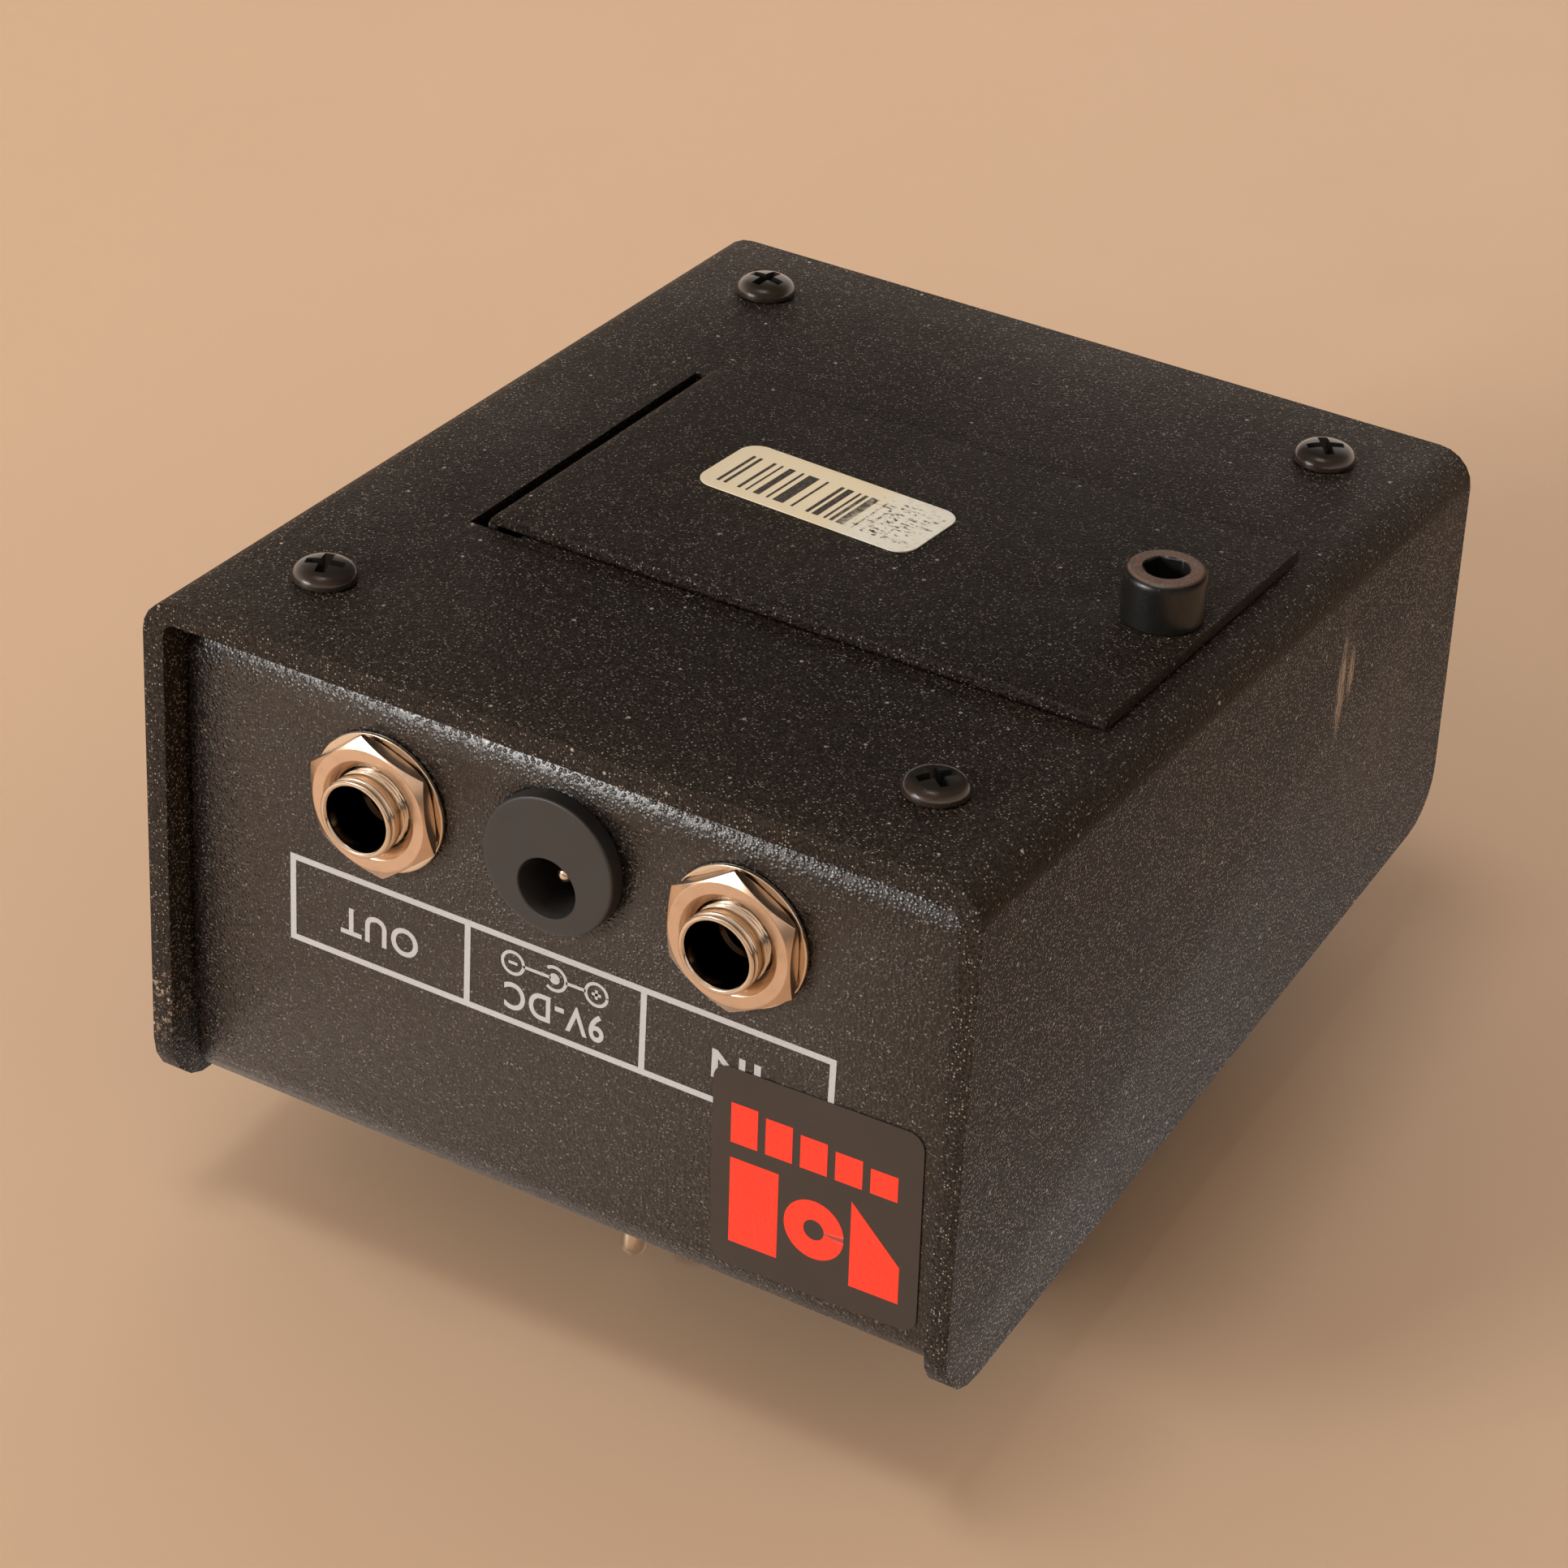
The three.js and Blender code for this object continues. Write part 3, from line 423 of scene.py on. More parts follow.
def stickerFilm():
    film = {"Metallic": 0.0, "Specular_IOR_Level": 0.35, "Coat_Weight": 0.15, "Coat_Roughness": 0.2}
    finish = Finish("stickerFilm", **film)
    cloud = finish.noise(0.12, 3)
    fine = finish.noise(7, 2)
    scratch = finish.step(finish.noise(0.8, 6, 0.75, stretch=(1, 4, 1)), 0.64, 0.7)
    colour = finish.blend(cloud, (0.030, 0.022, 0.017), (0.042, 0.031, 0.024))
    finish.put("Base Color", finish.blend(scratch * 0.12, colour, (0.3, 0.26, 0.22)))
    finish.put("Roughness", fine * 0.1 + 0.30)
    finish.bumps((fine, 0.004, 0.4))
    return finish.material


def printInk(name, colour, faded, rough=0.5):
    finish = Finish(name, Metallic=0.0, Specular_IOR_Level=0.25)
    cell = finish.cells(leather["cellsPerMm"], jumble=0.95)
    worn = finish.step(finish.noise(2.4, 5, 0.7), 0.60, 0.74)
    finish.put("Base Color", finish.blend(worn * 0.7 + finish.noise(5, 2) * 0.2, colour, faded))
    finish.put("Roughness", finish.noise(3, 3) * 0.2 + rough - 0.1)
    finish.bumps((1 - cell, 0.05, 0.6))
    return finish.material


def redLens():
    finish = Finish("redLens", Metallic=0.0, Transmission_Weight=0.35, Coat_Weight=0.6)
    cloud = finish.noise(0.8, 2)
    finish.put("Base Color", finish.blend(cloud, (0.42, 0.008, 0.006), (0.60, 0.02, 0.012)))
    finish.put("Roughness", cloud * 0.08 + 0.06)
    finish.bumps((finish.noise(1.5, 2), 0.02, 0.3))
    return finish.material


def boardResin():
    finish = Finish("boardResin", Metallic=0.0, Coat_Weight=0.5)
    tracks = finish.step(finish.cells(0.32, "DISTANCE_TO_EDGE", 0.6), 0.05, 0.09)
    weave = finish.noise(3, 2, stretch=(1, 6, 1))
    colour = finish.blend(tracks, (0.020, 0.11, 0.040), (0.009, 0.060, 0.022))
    finish.put("Base Color", finish.blend(weave * 0.3, colour, (0.03, 0.10, 0.05)))
    finish.put("Roughness", weave * 0.2 + 0.28)
    finish.bumps((1 - tracks, 0.03, 0.7), (weave, 0.01, 0.4))
    return finish.material


def batteryJacket():
    finish = Finish("batteryJacket", Metallic=0.6)
    band = finish.axis("X") > -16.5
    cloud = finish.noise(0.3, 4)
    scratch = finish.step(finish.noise(0.9, 6, 0.75, stretch=(1, 6, 1)), 0.6, 0.66)
    colour = finish.blend(band, (0.42, 0.16, 0.05), (0.022, 0.024, 0.028))
    finish.put("Base Color", finish.blend(scratch * 0.4 + cloud * 0.1, colour, (0.5, 0.48, 0.45)))
    finish.put("Roughness", cloud * 0.2 + 0.24)
    finish.bumps((cloud, 0.05, 0.4), (scratch, 0.01, 0.5))
    return finish.material


def ringedResistor():
    finish = Finish("ringedResistor", Metallic=0.0, Coat_Weight=0.4)
    wave = finish.node("Math", {"operation": "FRACT"}, {0: finish.axis("Y") * 0.62})
    band = (wave > 0.32) * (wave < 0.62)
    cloud = finish.noise(1.5, 3)
    colour = finish.blend(cloud, (0.50, 0.34, 0.17), (0.60, 0.44, 0.25))
    finish.put("Base Color", finish.blend(band * 0.85, colour, (0.20, 0.05, 0.02)))
    finish.put("Roughness", cloud * 0.2 + 0.3)
    finish.bumps((cloud, 0.02, 0.4))
    return finish.material


print("finishes")
finishes = {
    "coarse_coat": coarseCoat(),
    "leather_coat": leatherCoat(),
    "black_oxide": blackOxide("panScrewOxide", 2.6, 3.4, 0.16, metallic=0.2, rough=0.08),
    "nickel": plated("brightNickel", plating["nickel"], 0.07),
    "steel": plated("plainSteel", plating["steel"], 0.30, 0.12),
    "brass": plated("springBrass", plating["brass"], 0.24, 0.1),
    "matte_plastic": moulded("mattePlastic", (0.019, 0.0165, 0.015), (0.028, 0.025, 0.023), 0.46, 0.012),
    "knob_plastic": moulded("knobPlastic", (0.011, 0.011, 0.011), (0.02, 0.019, 0.018), 0.26, 0.006),
    "label_film": labelFilm(),
    "sticker_film": stickerFilm(),
    "lamp_lens": redLens(),
    "board_resin": boardResin(),
    "phenolic": moulded("phenolicSheet", (0.12, 0.05, 0.018), (0.20, 0.09, 0.035), 0.45, 0.02),
    "film_block": moulded("dippedBlock", (0.26, 0.030, 0.015), (0.34, 0.05, 0.022), 0.25, 0.03, 0.4),
    "blue_sleeve": moulded("shrunkSleeve", (0.010, 0.022, 0.090), (0.02, 0.04, 0.14), 0.30, 0.01, 0.3),
    "resistor_body": ringedResistor(),
    "battery_can": batteryJacket(),
    "red_insulation": moulded("redInsulation", (0.36, 0.012, 0.010), (0.45, 0.03, 0.02), 0.35, 0.01),
    "black_insulation": moulded("blackInsulation", (0.010, 0.010, 0.010), (0.03, 0.028, 0.026), 0.35, 0.01),
}
capOxide = blackOxide("capScrewOxide", 2.6, 2.8, 0.95, floorFrom=6.15, metallic=0.4, rough=0.33, gloss=0.0)
nutNickel = plated("satinNut", plating["nut"], 0.20, 0.05)
bushNickel = plated("bushNickel", plating["nickel"], 0.07, bore=(4.0, 4.7))
paleInk = printInk("paleInk", (0.47, 0.47, 0.48), (0.24, 0.23, 0.22))
redInk = printInk("redInk", (0.93, 0.040, 0.018), (0.86, 0.09, 0.05), 0.4)
whiteInk = printInk("pointerInk", (0.74, 0.73, 0.70), (0.5, 0.49, 0.46))


# A piece from the mesh of its own frame, riding a body; it may stand for CAD nodes
def addPiece(name, mesh, body, slot, place=Matrix(), stands=(), sharp=32, finish=None):
    work = bmesh.new()
    work.from_mesh(mesh)
    bmesh.ops.remove_doubles(work, verts=work.verts, dist=1e-6)
    bmesh.ops.dissolve_degenerate(work, edges=work.edges, dist=1e-7)
    bmesh.ops.recalc_face_normals(work, faces=work.faces)
    work.to_mesh(mesh)
    work.free()
    mesh.shade_smooth()
    mesh.set_sharp_from_angle(angle=math.radians(sharp))
    mesh.materials.clear()
    mesh.materials.append(finish or finishes[slot])
    mesh.name = name
    made = bpy.data.objects.new(name, mesh)
    bpy.context.scene.collection.objects.link(made)
    made.matrix_world = place
    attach(made, body)
    if stands:
        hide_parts(*stands)
    return made


def meshFrom(points, faces):
    mesh = bpy.data.meshes.new("work")
    mesh.from_pydata([Vector(point) * mm for point in points], [], faces)
    return mesh


# Rings of equally many points, joined one to the next; the ends are capped unless the rings form a loop
def skin(rings, loops=False):
    count = len(rings[0])  # points to a ring
    points = [point for ring in rings for point in ring]
    faces = []
    last = len(rings) if loops else len(rings) - 1
    for row in range(last):
        after = (row + 1) % len(rings)
        for step in range(count):
            beyond = (step + 1) % count
            near, far = row * count, after * count
            faces.append((near + step, near + beyond, far + beyond, far + step))
    if not loops:
        faces.append(tuple(range(count)))
        faces.append(tuple(range((len(rings) - 1) * count, len(rings) * count)))
    return meshFrom(points, faces)


def around(steps, turn=0.0):
    return [turn + 2 * math.pi * step / steps for step in range(steps)]


def circleRing(radius, height, steps, centre=(0, 0)):
    x, y = centre
    return [(x + radius * math.cos(a), y + radius * math.sin(a), height) for a in around(steps)]


# A ring whose reach differs from angle to angle
def shapedRing(reach, angles, heights):
    return [(r * math.cos(a), r * math.sin(a), h) for r, a, h in zip(reach, angles, heights)]


# A turned profile of (radius, height, rounding), with its corners rounded off
def rounded(profile, steps=4):
    path = []
    for i, (radius, height, *rest) in enumerate(profile):
        here = Vector((radius, height))
        ease = rest[0] if rest else 0
        if not ease or i in (0, len(profile) - 1):
            path.append(here)
            continue
        before = Vector(profile[i - 1][:2]) - here
        after = Vector(profile[i + 1][:2]) - here
        start = here + before.normalized() * min(ease, before.length * 0.49)
        end = here + after.normalized() * min(ease, after.length * 0.49)
        for step in range(steps + 1):
            share = step / steps
            path.append(start.lerp(here, share).lerp(here.lerp(end, share), share))
    return path


# A profile turned on its axis; a wave changes the radius from angle to angle
def turned(profile, steps=96, wave=None):
    rings = []
    for radius, height in rounded(profile):
        if wave is None or radius < 1e-6:
            rings.append(circleRing(radius, height, steps))
            continue
        reach = [wave(angle, radius, height) for angle in around(steps)]
        rings.append(shapedRing(reach, around(steps), [height] * steps))
    return skin(rings, loops=abs(profile[0][0]) > 1e-6)


def hexReach(angle, flats, turn):
    off = (angle - turn) % (math.pi / 3) - math.pi / 6
    return flats / 2 / math.cos(off)


# A nut with conical chamfers on its outer face and a countersunk bore
def hexNut(flats, height, bore, turn=0.0, face=None, sink=None, steps=120):
    face = face or flats / 2 * 0.965
    sink = sink or bore + 0.6
    angles = around(steps, turn)
    reach = [hexReach(angle, flats, turn) for angle in angles]
    outer = [min(r, face) for r in reach]
    fall = math.tan(math.radians(30))
    top = [height - max(0, r - face) * fall for r in reach]
    foot = [max(0, r - face - 0.3) * fall for r in reach]

    def level(radii, high):
        return shapedRing(radii, angles, [high] * steps)

    inner = [bore] * steps
    return skin([
        level(inner, 0),
        level(outer, 0),
        shapedRing(reach, angles, foot),
        shapedRing(reach, angles, top),
        level(outer, height),
        level([sink] * steps, height),
        level(inner, height - (sink - bore) * 0.8),
        level(inner, height * 0.5),
    ], loops=True)


def easeEdges(made, width, segments=2, angle=24):
    bevel = made.modifiers.new("edges", "BEVEL")
    bevel.width = width * mm
    bevel.segments = segments
    bevel.limit_method = "ANGLE"
    bevel.angle_limit = math.radians(angle)
    bevel.harden_normals = True


# A copy of a CAD node with its edges rounded, in place of it
def softened(node, name, body, slot, width, segments):
    mesh = nodes[node].data.copy()
    work = bmesh.new()
    work.from_mesh(mesh)
    bmesh.ops.remove_doubles(work, verts=work.verts, dist=1e-6)
    bmesh.ops.dissolve_limit(work, angle_limit=math.radians(1), verts=work.verts, edges=work.edges)
    work.to_mesh(mesh)
    work.free()
    easeEdges(addPiece(name, mesh, body, slot, stands=(node,), sharp=180), width, segments, 32)


print("camera and stage")
addCamera()
stage = {
    "table": (0.40, 0.275, 0.180),
    "tableSide": 6.0,
    "floor": (0.72, 0.70, 0.67),
    "worldLight": 0.10,
    "belowPanel": 17.4,  # from the top panel to the sheet that the controls would rest on
    "sky": (0.95, 0.90, 0.84),
}


# A sheet that shows only from its front and throws no shadow
def oneSided(name, colour, place):
    finish = Finish(name + "Paint", Metallic=0.0)
    fleck = finish.noise(0.02, 3)
    finish.put("Base Color", finish.blend(fleck * 0.3, colour, tuple(part * 0.9 for part in colour)))
    finish.put("Roughness", fleck * 0.2 + 0.55)
    clear = finish.node("BsdfTransparent")
    behind = finish.node("NewGeometry", out="Backfacing")
    shown = finish.node("MixShader", None, {0: behind, 1: Wire(finish, finish.shader.outputs[0]), 2: clear})
    output = next(node for node in finish.tree.nodes if node.type == "OUTPUT_MATERIAL")
    finish.tree.links.new(shown.socket, output.inputs["Surface"])
    half = stage["tableSide"] / 2 / mm
    outline = [(-half, -half, 0), (half, -half, 0), (half, half, 0), (-half, half, 0)]
    sheet = meshFrom(outline, [(0, 1, 2, 3)])
    sheet.materials.append(finish.material)
    made = bpy.data.objects.new(name, sheet)
    bpy.context.scene.collection.objects.link(made)
    made.matrix_world = place
    made.visible_shadow = False


def addStage():
    knobTop = Vector(panelJoint["pos_m"]) + panelOut * (stage["belowPanel"] * mm)
    oneSided("tableAbove", stage["table"], facing(knobTop, -panelOut))
    oneSided("floorUnder", stage["floor"], facing(Vector((0, 0, cadBox[0].z)), (0, 0, 1)))
    world = bpy.data.worlds.new("studio")
    world.use_nodes = True
    sky = world.node_tree.nodes["Background"].inputs
    sky["Color"].default_value = (*stage["sky"], 1)
    sky["Strength"].default_value = stage["worldLight"]
    bpy.context.scene.world = world


# Soft panels: where each stands (metres), what it faces, its sides and its watts
lamps = {
    "windowLeft": {"place": (-0.72, 1.10, -0.36), "size": (0.46, 0.30),
                   "power": 15, "colour": (1.0, 0.99, 0.97)},
    "windowTop": {"place": (-0.10, 0.25, -1.30), "size": (0.42, 0.30),
                  "power": 7, "colour": (1.0, 0.98, 0.95)},
    "windowRight": {"place": (0.95, 0.45, -0.62), "size": (0.3, 0.3),
                    "power": 0.7, "colour": (1.0, 0.99, 0.98)},
    "farSky": {"place": (-0.45, -1.3, -0.80), "size": (0.7, 0.3),
               "power": 1.7, "colour": (0.97, 0.98, 1.0)},
    "topFront": {"place": (0.12, -0.9, 1.15), "size": (0.8, 0.8),
                 "power": 11, "colour": (1.0, 0.98, 0.96)},
    "topBack": {"place": (-0.6, 0.0, 1.2), "size": (0.8, 0.8),
                "power": 8, "colour": (0.98, 0.99, 1.0)},
}


def addLamps():
    aim = Vector((0, 0.01, 0.03))
    for name, spec in lamps.items():
        light = bpy.data.lights.new(name, "AREA")
        light.shape = "RECTANGLE"
        light.size, light.size_y = spec["size"]
        light.energy = spec["power"]
        light.color = spec["colour"]
        holder = bpy.data.objects.new(name, light)
        bpy.context.scene.collection.objects.link(holder)
        place = Vector(spec["place"])
        turn = (aim - place).to_track_quat("-Z", "Y").to_matrix().to_4x4()
        holder.matrix_world = Matrix.Translation(place) @ turn


addStage()
addLamps()

print("case")
for name, node in nodes.items():
    node.data.materials.clear()
for part in frame["record"]["subparts"]:
    nodes[part["node"]].data.materials.append(finishes[part["material_slot"]])

softened("base_cover", "baseCover", "case", "coarse_coat", 0.55, 4)
softened("battery_door", "batteryDoor", "battery_door", "coarse_coat", 0.42, 4)
softened("chassis", "innerChassis", "case", "leather_coat", 0.35, 3)

panScrew = {
    "radius": 3.8,
    "height": 2.2,
    "shank": 1.65,
    "depth": 1.75,
    "armWide": 1.25,
    "armFoot": 0.62,
    "armLong": 2.45,
    "armFootLong": 0.85,
    "seat": 0.1,
    "turns": (20, 52, 83, 37),
}


# A block that narrows as it goes down from the top; it also stands above the top by the rise
def wedge(wide, long, footWide, footLong, top, foot, rise=1.5):
    grow = rise / (top - foot)
    over = (wide + (wide - footWide) * grow) / 2
    reach = (long + (long - footLong) * grow) / 2
    levels = [(footLong / 2, footWide / 2, foot), (reach, over, top + rise)]
    rings = [[(x * a, y * b, z) for a, b in ((-1, -1), (1, -1), (1, 1), (-1, 1))] for x, y, z in levels]
    return skin(rings)


# The head stands on its seat at z = 0 and carries a cross that narrows as it goes down
def panScrewMesh():
    spec = panScrew
    radius, height, shank, seat = spec["radius"], spec["height"], spec["shank"], spec["seat"]
    dome = turned([
        (0, -9.9), (shank - 0.45, -9.9, 0.2), (shank, -9.0, 0.2), (shank, seat, 0.05),
        (radius - 0.25, seat, 0.1), (radius, 0.28, 0.2), (radius * 0.99, 1.05, 0.5),
        (radius * 0.80, height * 0.84, 1.0), (radius * 0.42, height * 0.985, 0.9), (0, height),
    ], 120)
    blank = bpy.data.objects.new("blank", dome)
    bpy.context.scene.collection.objects.link(blank)
    cutters = []
    for quarter in (0, 1):
        long, footLong = 2 * spec["armLong"], 2 * spec["armFootLong"]
        cutter = wedge(spec["armWide"], long, spec["armFoot"], footLong, height, height - spec["depth"])
        cutter.transform(Matrix.Rotation(quarter * math.pi / 2, 4, "Z"))
        tool = bpy.data.objects.new("cutter", cutter)
        bpy.context.scene.collection.objects.link(tool)
        step = blank.modifiers.new("cross", "BOOLEAN")
        step.object = tool
        step.operation = "DIFFERENCE"
        step.solver = "EXACT"
        cutters.append(tool)
    seen = blank.evaluated_get(bpy.context.evaluated_depsgraph_get())
    mesh = bpy.data.meshes.new_from_object(seen)
    for tool in (blank, *cutters):
        bpy.data.objects.remove(tool)
    return mesh


def addCoverScrews():
    mesh = panScrewMesh()
    for count, turn in enumerate(panScrew["turns"], 1):
        node = f"cover_screw_{count}"
        centre = middleOf(node)
        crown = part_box(node)[0].z
        seat = Vector((centre.x, centre.y, crown + (panScrew["height"] + panScrew["seat"]) * mm))
        place = facing(seat, (0, 0, -1)) @ Matrix.Rotation(math.radians(turn), 4, "Z")
        addPiece(f"coverScrew{count}", mesh.copy(), "case", "black_oxide", place, (node,))


capScrew = {
    "radius": 4.76,
    "height": 6.2,
    "edge": 0.58,
    "socket": 4.76,
    "socketDepth": 3.0,
    "socketTurn": 12,
    "shank": 3.1,
    "point": 0.6,
}


def addDoorScrew():
    spec = capScrew
    low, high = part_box("door_screw")
    centre = middleOf("door_screw")
    radius, height, edge, shank = spec["radius"], spec["height"], spec["edge"], spec["shank"]
    tip = height - (high.z - low.z) / mm
    turn = math.radians(spec["socketTurn"])
    steps = 120

    def hexRing(z):
        reach = [hexReach(angle, spec["socket"], turn) for angle in around(steps)]
        return shapedRing(reach, around(steps), [z] * steps)

    lip = spec["socket"] / 2 * 1.165
    outside = rounded([
        (lip, height), (radius - edge - 0.14, height, 0.1), (radius - edge, height - 0.03, 0.1),
        (radius, height - 0.52, 0.55), (radius, 0.12, 0.12), (radius - 0.12, 0, 0), (shank, 0),
        (shank, tip + 0.7), (shank - spec["point"], tip), (0, tip),
    ])
    floor = height - spec["socketDepth"]
    rings = [circleRing(0, floor - 0.5, steps), hexRing(floor), hexRing(height - 0.22)]
    rings += [circleRing(r, h, steps) for r, h in outside]
    place = facing(Vector((centre.x, centre.y, low.z + height * mm)), (0, 0, -1))
    stands = ("door_screw",)
    addPiece("doorCapScrew", skin(rings), "battery_door", "black_oxide", place, stands, finish=capOxide)


addCoverScrews()
addDoorScrew()

print("rear hardware")
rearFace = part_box("chassis")[1].y
coatGap = 0.1  # left between stacked pieces


# A node's frame on the case's rear face
def rearPlace(node):
    centre = middleOf(node)
    return facing(Vector((centre.x, rearFace, centre.z)), (0, 1, 0))


jack = {
    "bush": 4.75,
    "bore": 3.3,
    "mouth": 0.62,
    "mouthFoot": -1.4,
    "proud": 5.15,
    "thread": 0.42,
    "threadTo": 3.2,
    "threadDeep": 0.3,
    "shoulder": 7.4,
    "shoulderFoot": -3.2,
    "shoulderTop": -1.75,
    "nutFlats": 15.4,
    "nutTall": 1.9,
    "nutFace": 7.45,
    "nutSink": 6.05,
    "nutTurn": {"in": 30.8, "out": 39.8},
    "nutGap": 0.3,
    "washer": 8.6,
    "washerThick": 0.6,
    "tabHalf": 4.5,
    "tabFrom": 6.0,
    "tabTo": 9.4,
    "armThick": 0.7,
    "armLong": 12.8,
}


def jackBush():
    spec = jack
    bush, bore, proud, paleToneAndDomeSheen = spec["bush"], spec["bore"], spec["proud"], spec["threadTo"]
    mouth, foot = bore + spec["mouth"], spec["shoulderFoot"]
    threads = [(bush - 0.02, height / 20, 0) for height in range(-34, int(paleToneAndDomeSheen * 20) - 8)]

    def cutThread(angle, radius, height):
        if radius < bush - 0.05 or height > paleToneAndDomeSheen - 0.45:
            return radius
        phase = (height / spec["thread"] - angle / (2 * math.pi)) % 1
        return radius - spec["threadDeep"] * abs(2 * phase - 1)

    profile = [
        (bore, foot, 0), (spec["shoulder"], foot, 0.2), (spec["shoulder"], spec["shoulderTop"], 0.2),
        *threads,
        (bush - 0.42, paleToneAndDomeSheen - 0.42, 0.06), (bush - 0.42, paleToneAndDomeSheen - 0.30, 0.06), (bush, paleToneAndDomeSheen - 0.14, 0.12),
        (bush, proud - 1.0, 0.15), (bush - 0.26, proud - 0.86, 0.12), (bush - 0.26, proud - 0.74, 0.12),
        (bush, proud - 0.56, 0.2), (bush, proud - 0.12, 0.34), (bush - 0.34, proud, 0.2),
        (mouth + 0.23, proud - 0.06, 0.25), (mouth + 0.06, proud - 0.35, 0.2),
        (mouth, spec["mouthFoot"], 0.2), (bore, spec["mouthFoot"] - 0.5, 0.1), (bore, foot, 0),
    ]
    return turned(profile, 128, cutThread)


def jackWasher():
    inner, outer = jack["bush"] + jack["nutGap"], jack["washer"]
    foot, top = coatGap, coatGap + jack["washerThick"]
    return turned([
        (inner, foot), (outer - 0.12, foot, 0), (outer, foot + 0.12, 0.1), (outer, top - 0.12, 0.12),
        (outer - 0.14, top, 0.12), (inner, top), (inner, foot),
    ], 128)


# The frame's tab behind the panel, and the arm that runs back from it
def jackFrame():
    half, start, end = jack["tabHalf"], jack["tabFrom"], jack["tabTo"]
    low, high = jack["shoulderFoot"] + coatGap, jack["shoulderTop"]
    tab = [(-half, -start), (half, -start), (half, -end), (-half, -end)]
    under = -end
    top = under + jack["armThick"]
    arm = [(-half, top), (half, top), (half, under), (-half, under)]
    levels = (high - 0.05, high - 0.05 - jack["armLong"])
    return (skin([[(x, y, z) for x, y in tab] for z in (low, high)]),
            skin([[(x, y, z) for x, y in arm] for z in levels]))


def addJack(side):
    spec = jack
    name = f"jack{side.title()}"
    place = rearPlace(f"jack_{side}_nut")
    bush = jackBush()
    addPiece(f"{name}Bush", bush, "case", "nickel", place, (f"jack_{side}_sleeve",), 40, bushNickel)
    tab, arm = jackFrame()
    addPiece(f"{name}Tab", tab, "case", "nickel", place)
    addPiece(f"{name}Arm", arm, "case", "nickel", place)
    addPiece(f"{name}Washer", jackWasher(), "case", "nickel", place, (f"jack_{side}_washer",))
    turn = math.radians(spec["nutTurn"][side])
    bore = spec["bush"] + spec["nutGap"]
    body = hexNut(spec["nutFlats"], spec["nutTall"], bore, turn, spec["nutFace"], spec["nutSink"])
    seat = place @ Matrix.Translation((0, 0, (2 * coatGap + spec["washerThick"]) * mm))
    nut = addPiece(f"{name}Nut", body, "case", "nickel", seat, (f"jack_{side}_nut",), 25, nutNickel)
    easeEdges(nut, 0.09)


inlet = {
    "flange": 8.45,
    "proud": 2.2,
    "barrel": 7.0,
    "deep": 14.0,
    "mouth": 3.7,
    "floor": 3,
    "offset": 2.8,
    "ease": 0.4,
    "pin": 1.05,
    "pinTip": -0.8,
    "pinFoot": -17,
}


def addInlet():
    spec = inlet
    flange, proud, barrel, ease = spec["flange"], spec["proud"], spec["barrel"], spec["ease"]
    place = rearPlace("dc_inlet_body")
    steps = 128
    off = (0, -spec["offset"])
    outside = rounded([(flange - ease * 2, proud), (flange, proud, ease), (flange, coatGap, 0.05),
                       (barrel, coatGap), (barrel, -spec["deep"])], 6)
    rings = [
        circleRing(spec["mouth"], spec["floor"] - spec["deep"], steps, off),
        circleRing(spec["mouth"], proud - 0.14, steps, off),
        circleRing(spec["mouth"] + 0.12, proud, steps, off),
    ]
    rings += [circleRing(radius, height, steps) for radius, height in outside]
    addPiece("inletBody", skin(rings), "case", "matte_plastic", place, ("dc_inlet_body",))
    wide, tip, foot = spec["pin"], spec["pinTip"], spec["pinFoot"]
    pin = turned([(0, foot), (wide, foot, 0), (wide, tip - 1, 0.4), (wide * 0.8, tip - 0.25, 0.4),
                  (0.35, tip, 0.2), (0, tip)], 48)
    at = place @ Matrix.Translation((0, -spec["offset"] * mm, 0))
    addPiece("inletPin", pin, "case", "nickel", at, ("dc_inlet_pin",))


addJack("in")
addJack("out")
addInlet()

print("films and printing")
filmThick = 0.15
printThick = 0.03
sticker = {"wide": 26.4, "tall": 26.0, "round": 2.0, "turn": 1.5}


def roundedOutline(wide, tall, radius, steps=8):
    outline = []
    for quarter, (a, b) in enumerate(((1, 1), (-1, 1), (-1, -1), (1, -1))):
        cx, cy = a * (wide / 2 - radius), b * (tall / 2 - radius)
        for step in range(steps + 1):
            angle = math.pi / 2 * (quarter + step / steps)
            outline.append((cx + radius * math.cos(angle), cy + radius * math.sin(angle)))
    return outline


# A film with rounded corners, from its own sizes
def film(spec, ease=0.03):
    outline = roundedOutline(spec["wide"], spec["tall"], spec["round"])
    reach = max(abs(x) for x, y in outline)

    def level(shrink, z):
        return [(x * shrink, y * shrink, z) for x, y in outline]

    return skin([level(1, 0), level(1, filmThick - ease), level(1 - ease / reach, filmThick)])


def printed(outline, lift=0.0, thick=printThick):
    return skin([[(x, y, z) for x, y in outline] for z in (lift, lift + thick)])


def bar(x0, y0, x1, y1, lift=0.0, thick=printThick):
    return printed([(x0, y0), (x1, y0), (x1, y1), (x0, y1)], lift, thick)


def joined(meshes):
    work = bmesh.new()
    for mesh in meshes:
        work.from_mesh(mesh)
    whole = bpy.data.meshes.new("work")
    work.to_mesh(whole)
    work.free()
    return whole


motif = {
    "half": 10.8,
    "inner": 4.6,
    "foot": -9.8,
    "top": 1.4,
    "slopeEnd": -5.0,
    "ringAt": -4.2,
    "ringRadius": 2.55,
    "ringWide": 2.5,
    "stripes": 5,
    "stripeFoot": 3.4,
    "stripeTop": 8.6,
    "stripeStep": 4.4,
    "stripeWide": 3.4,
    "stripeFall": 0.5,
}


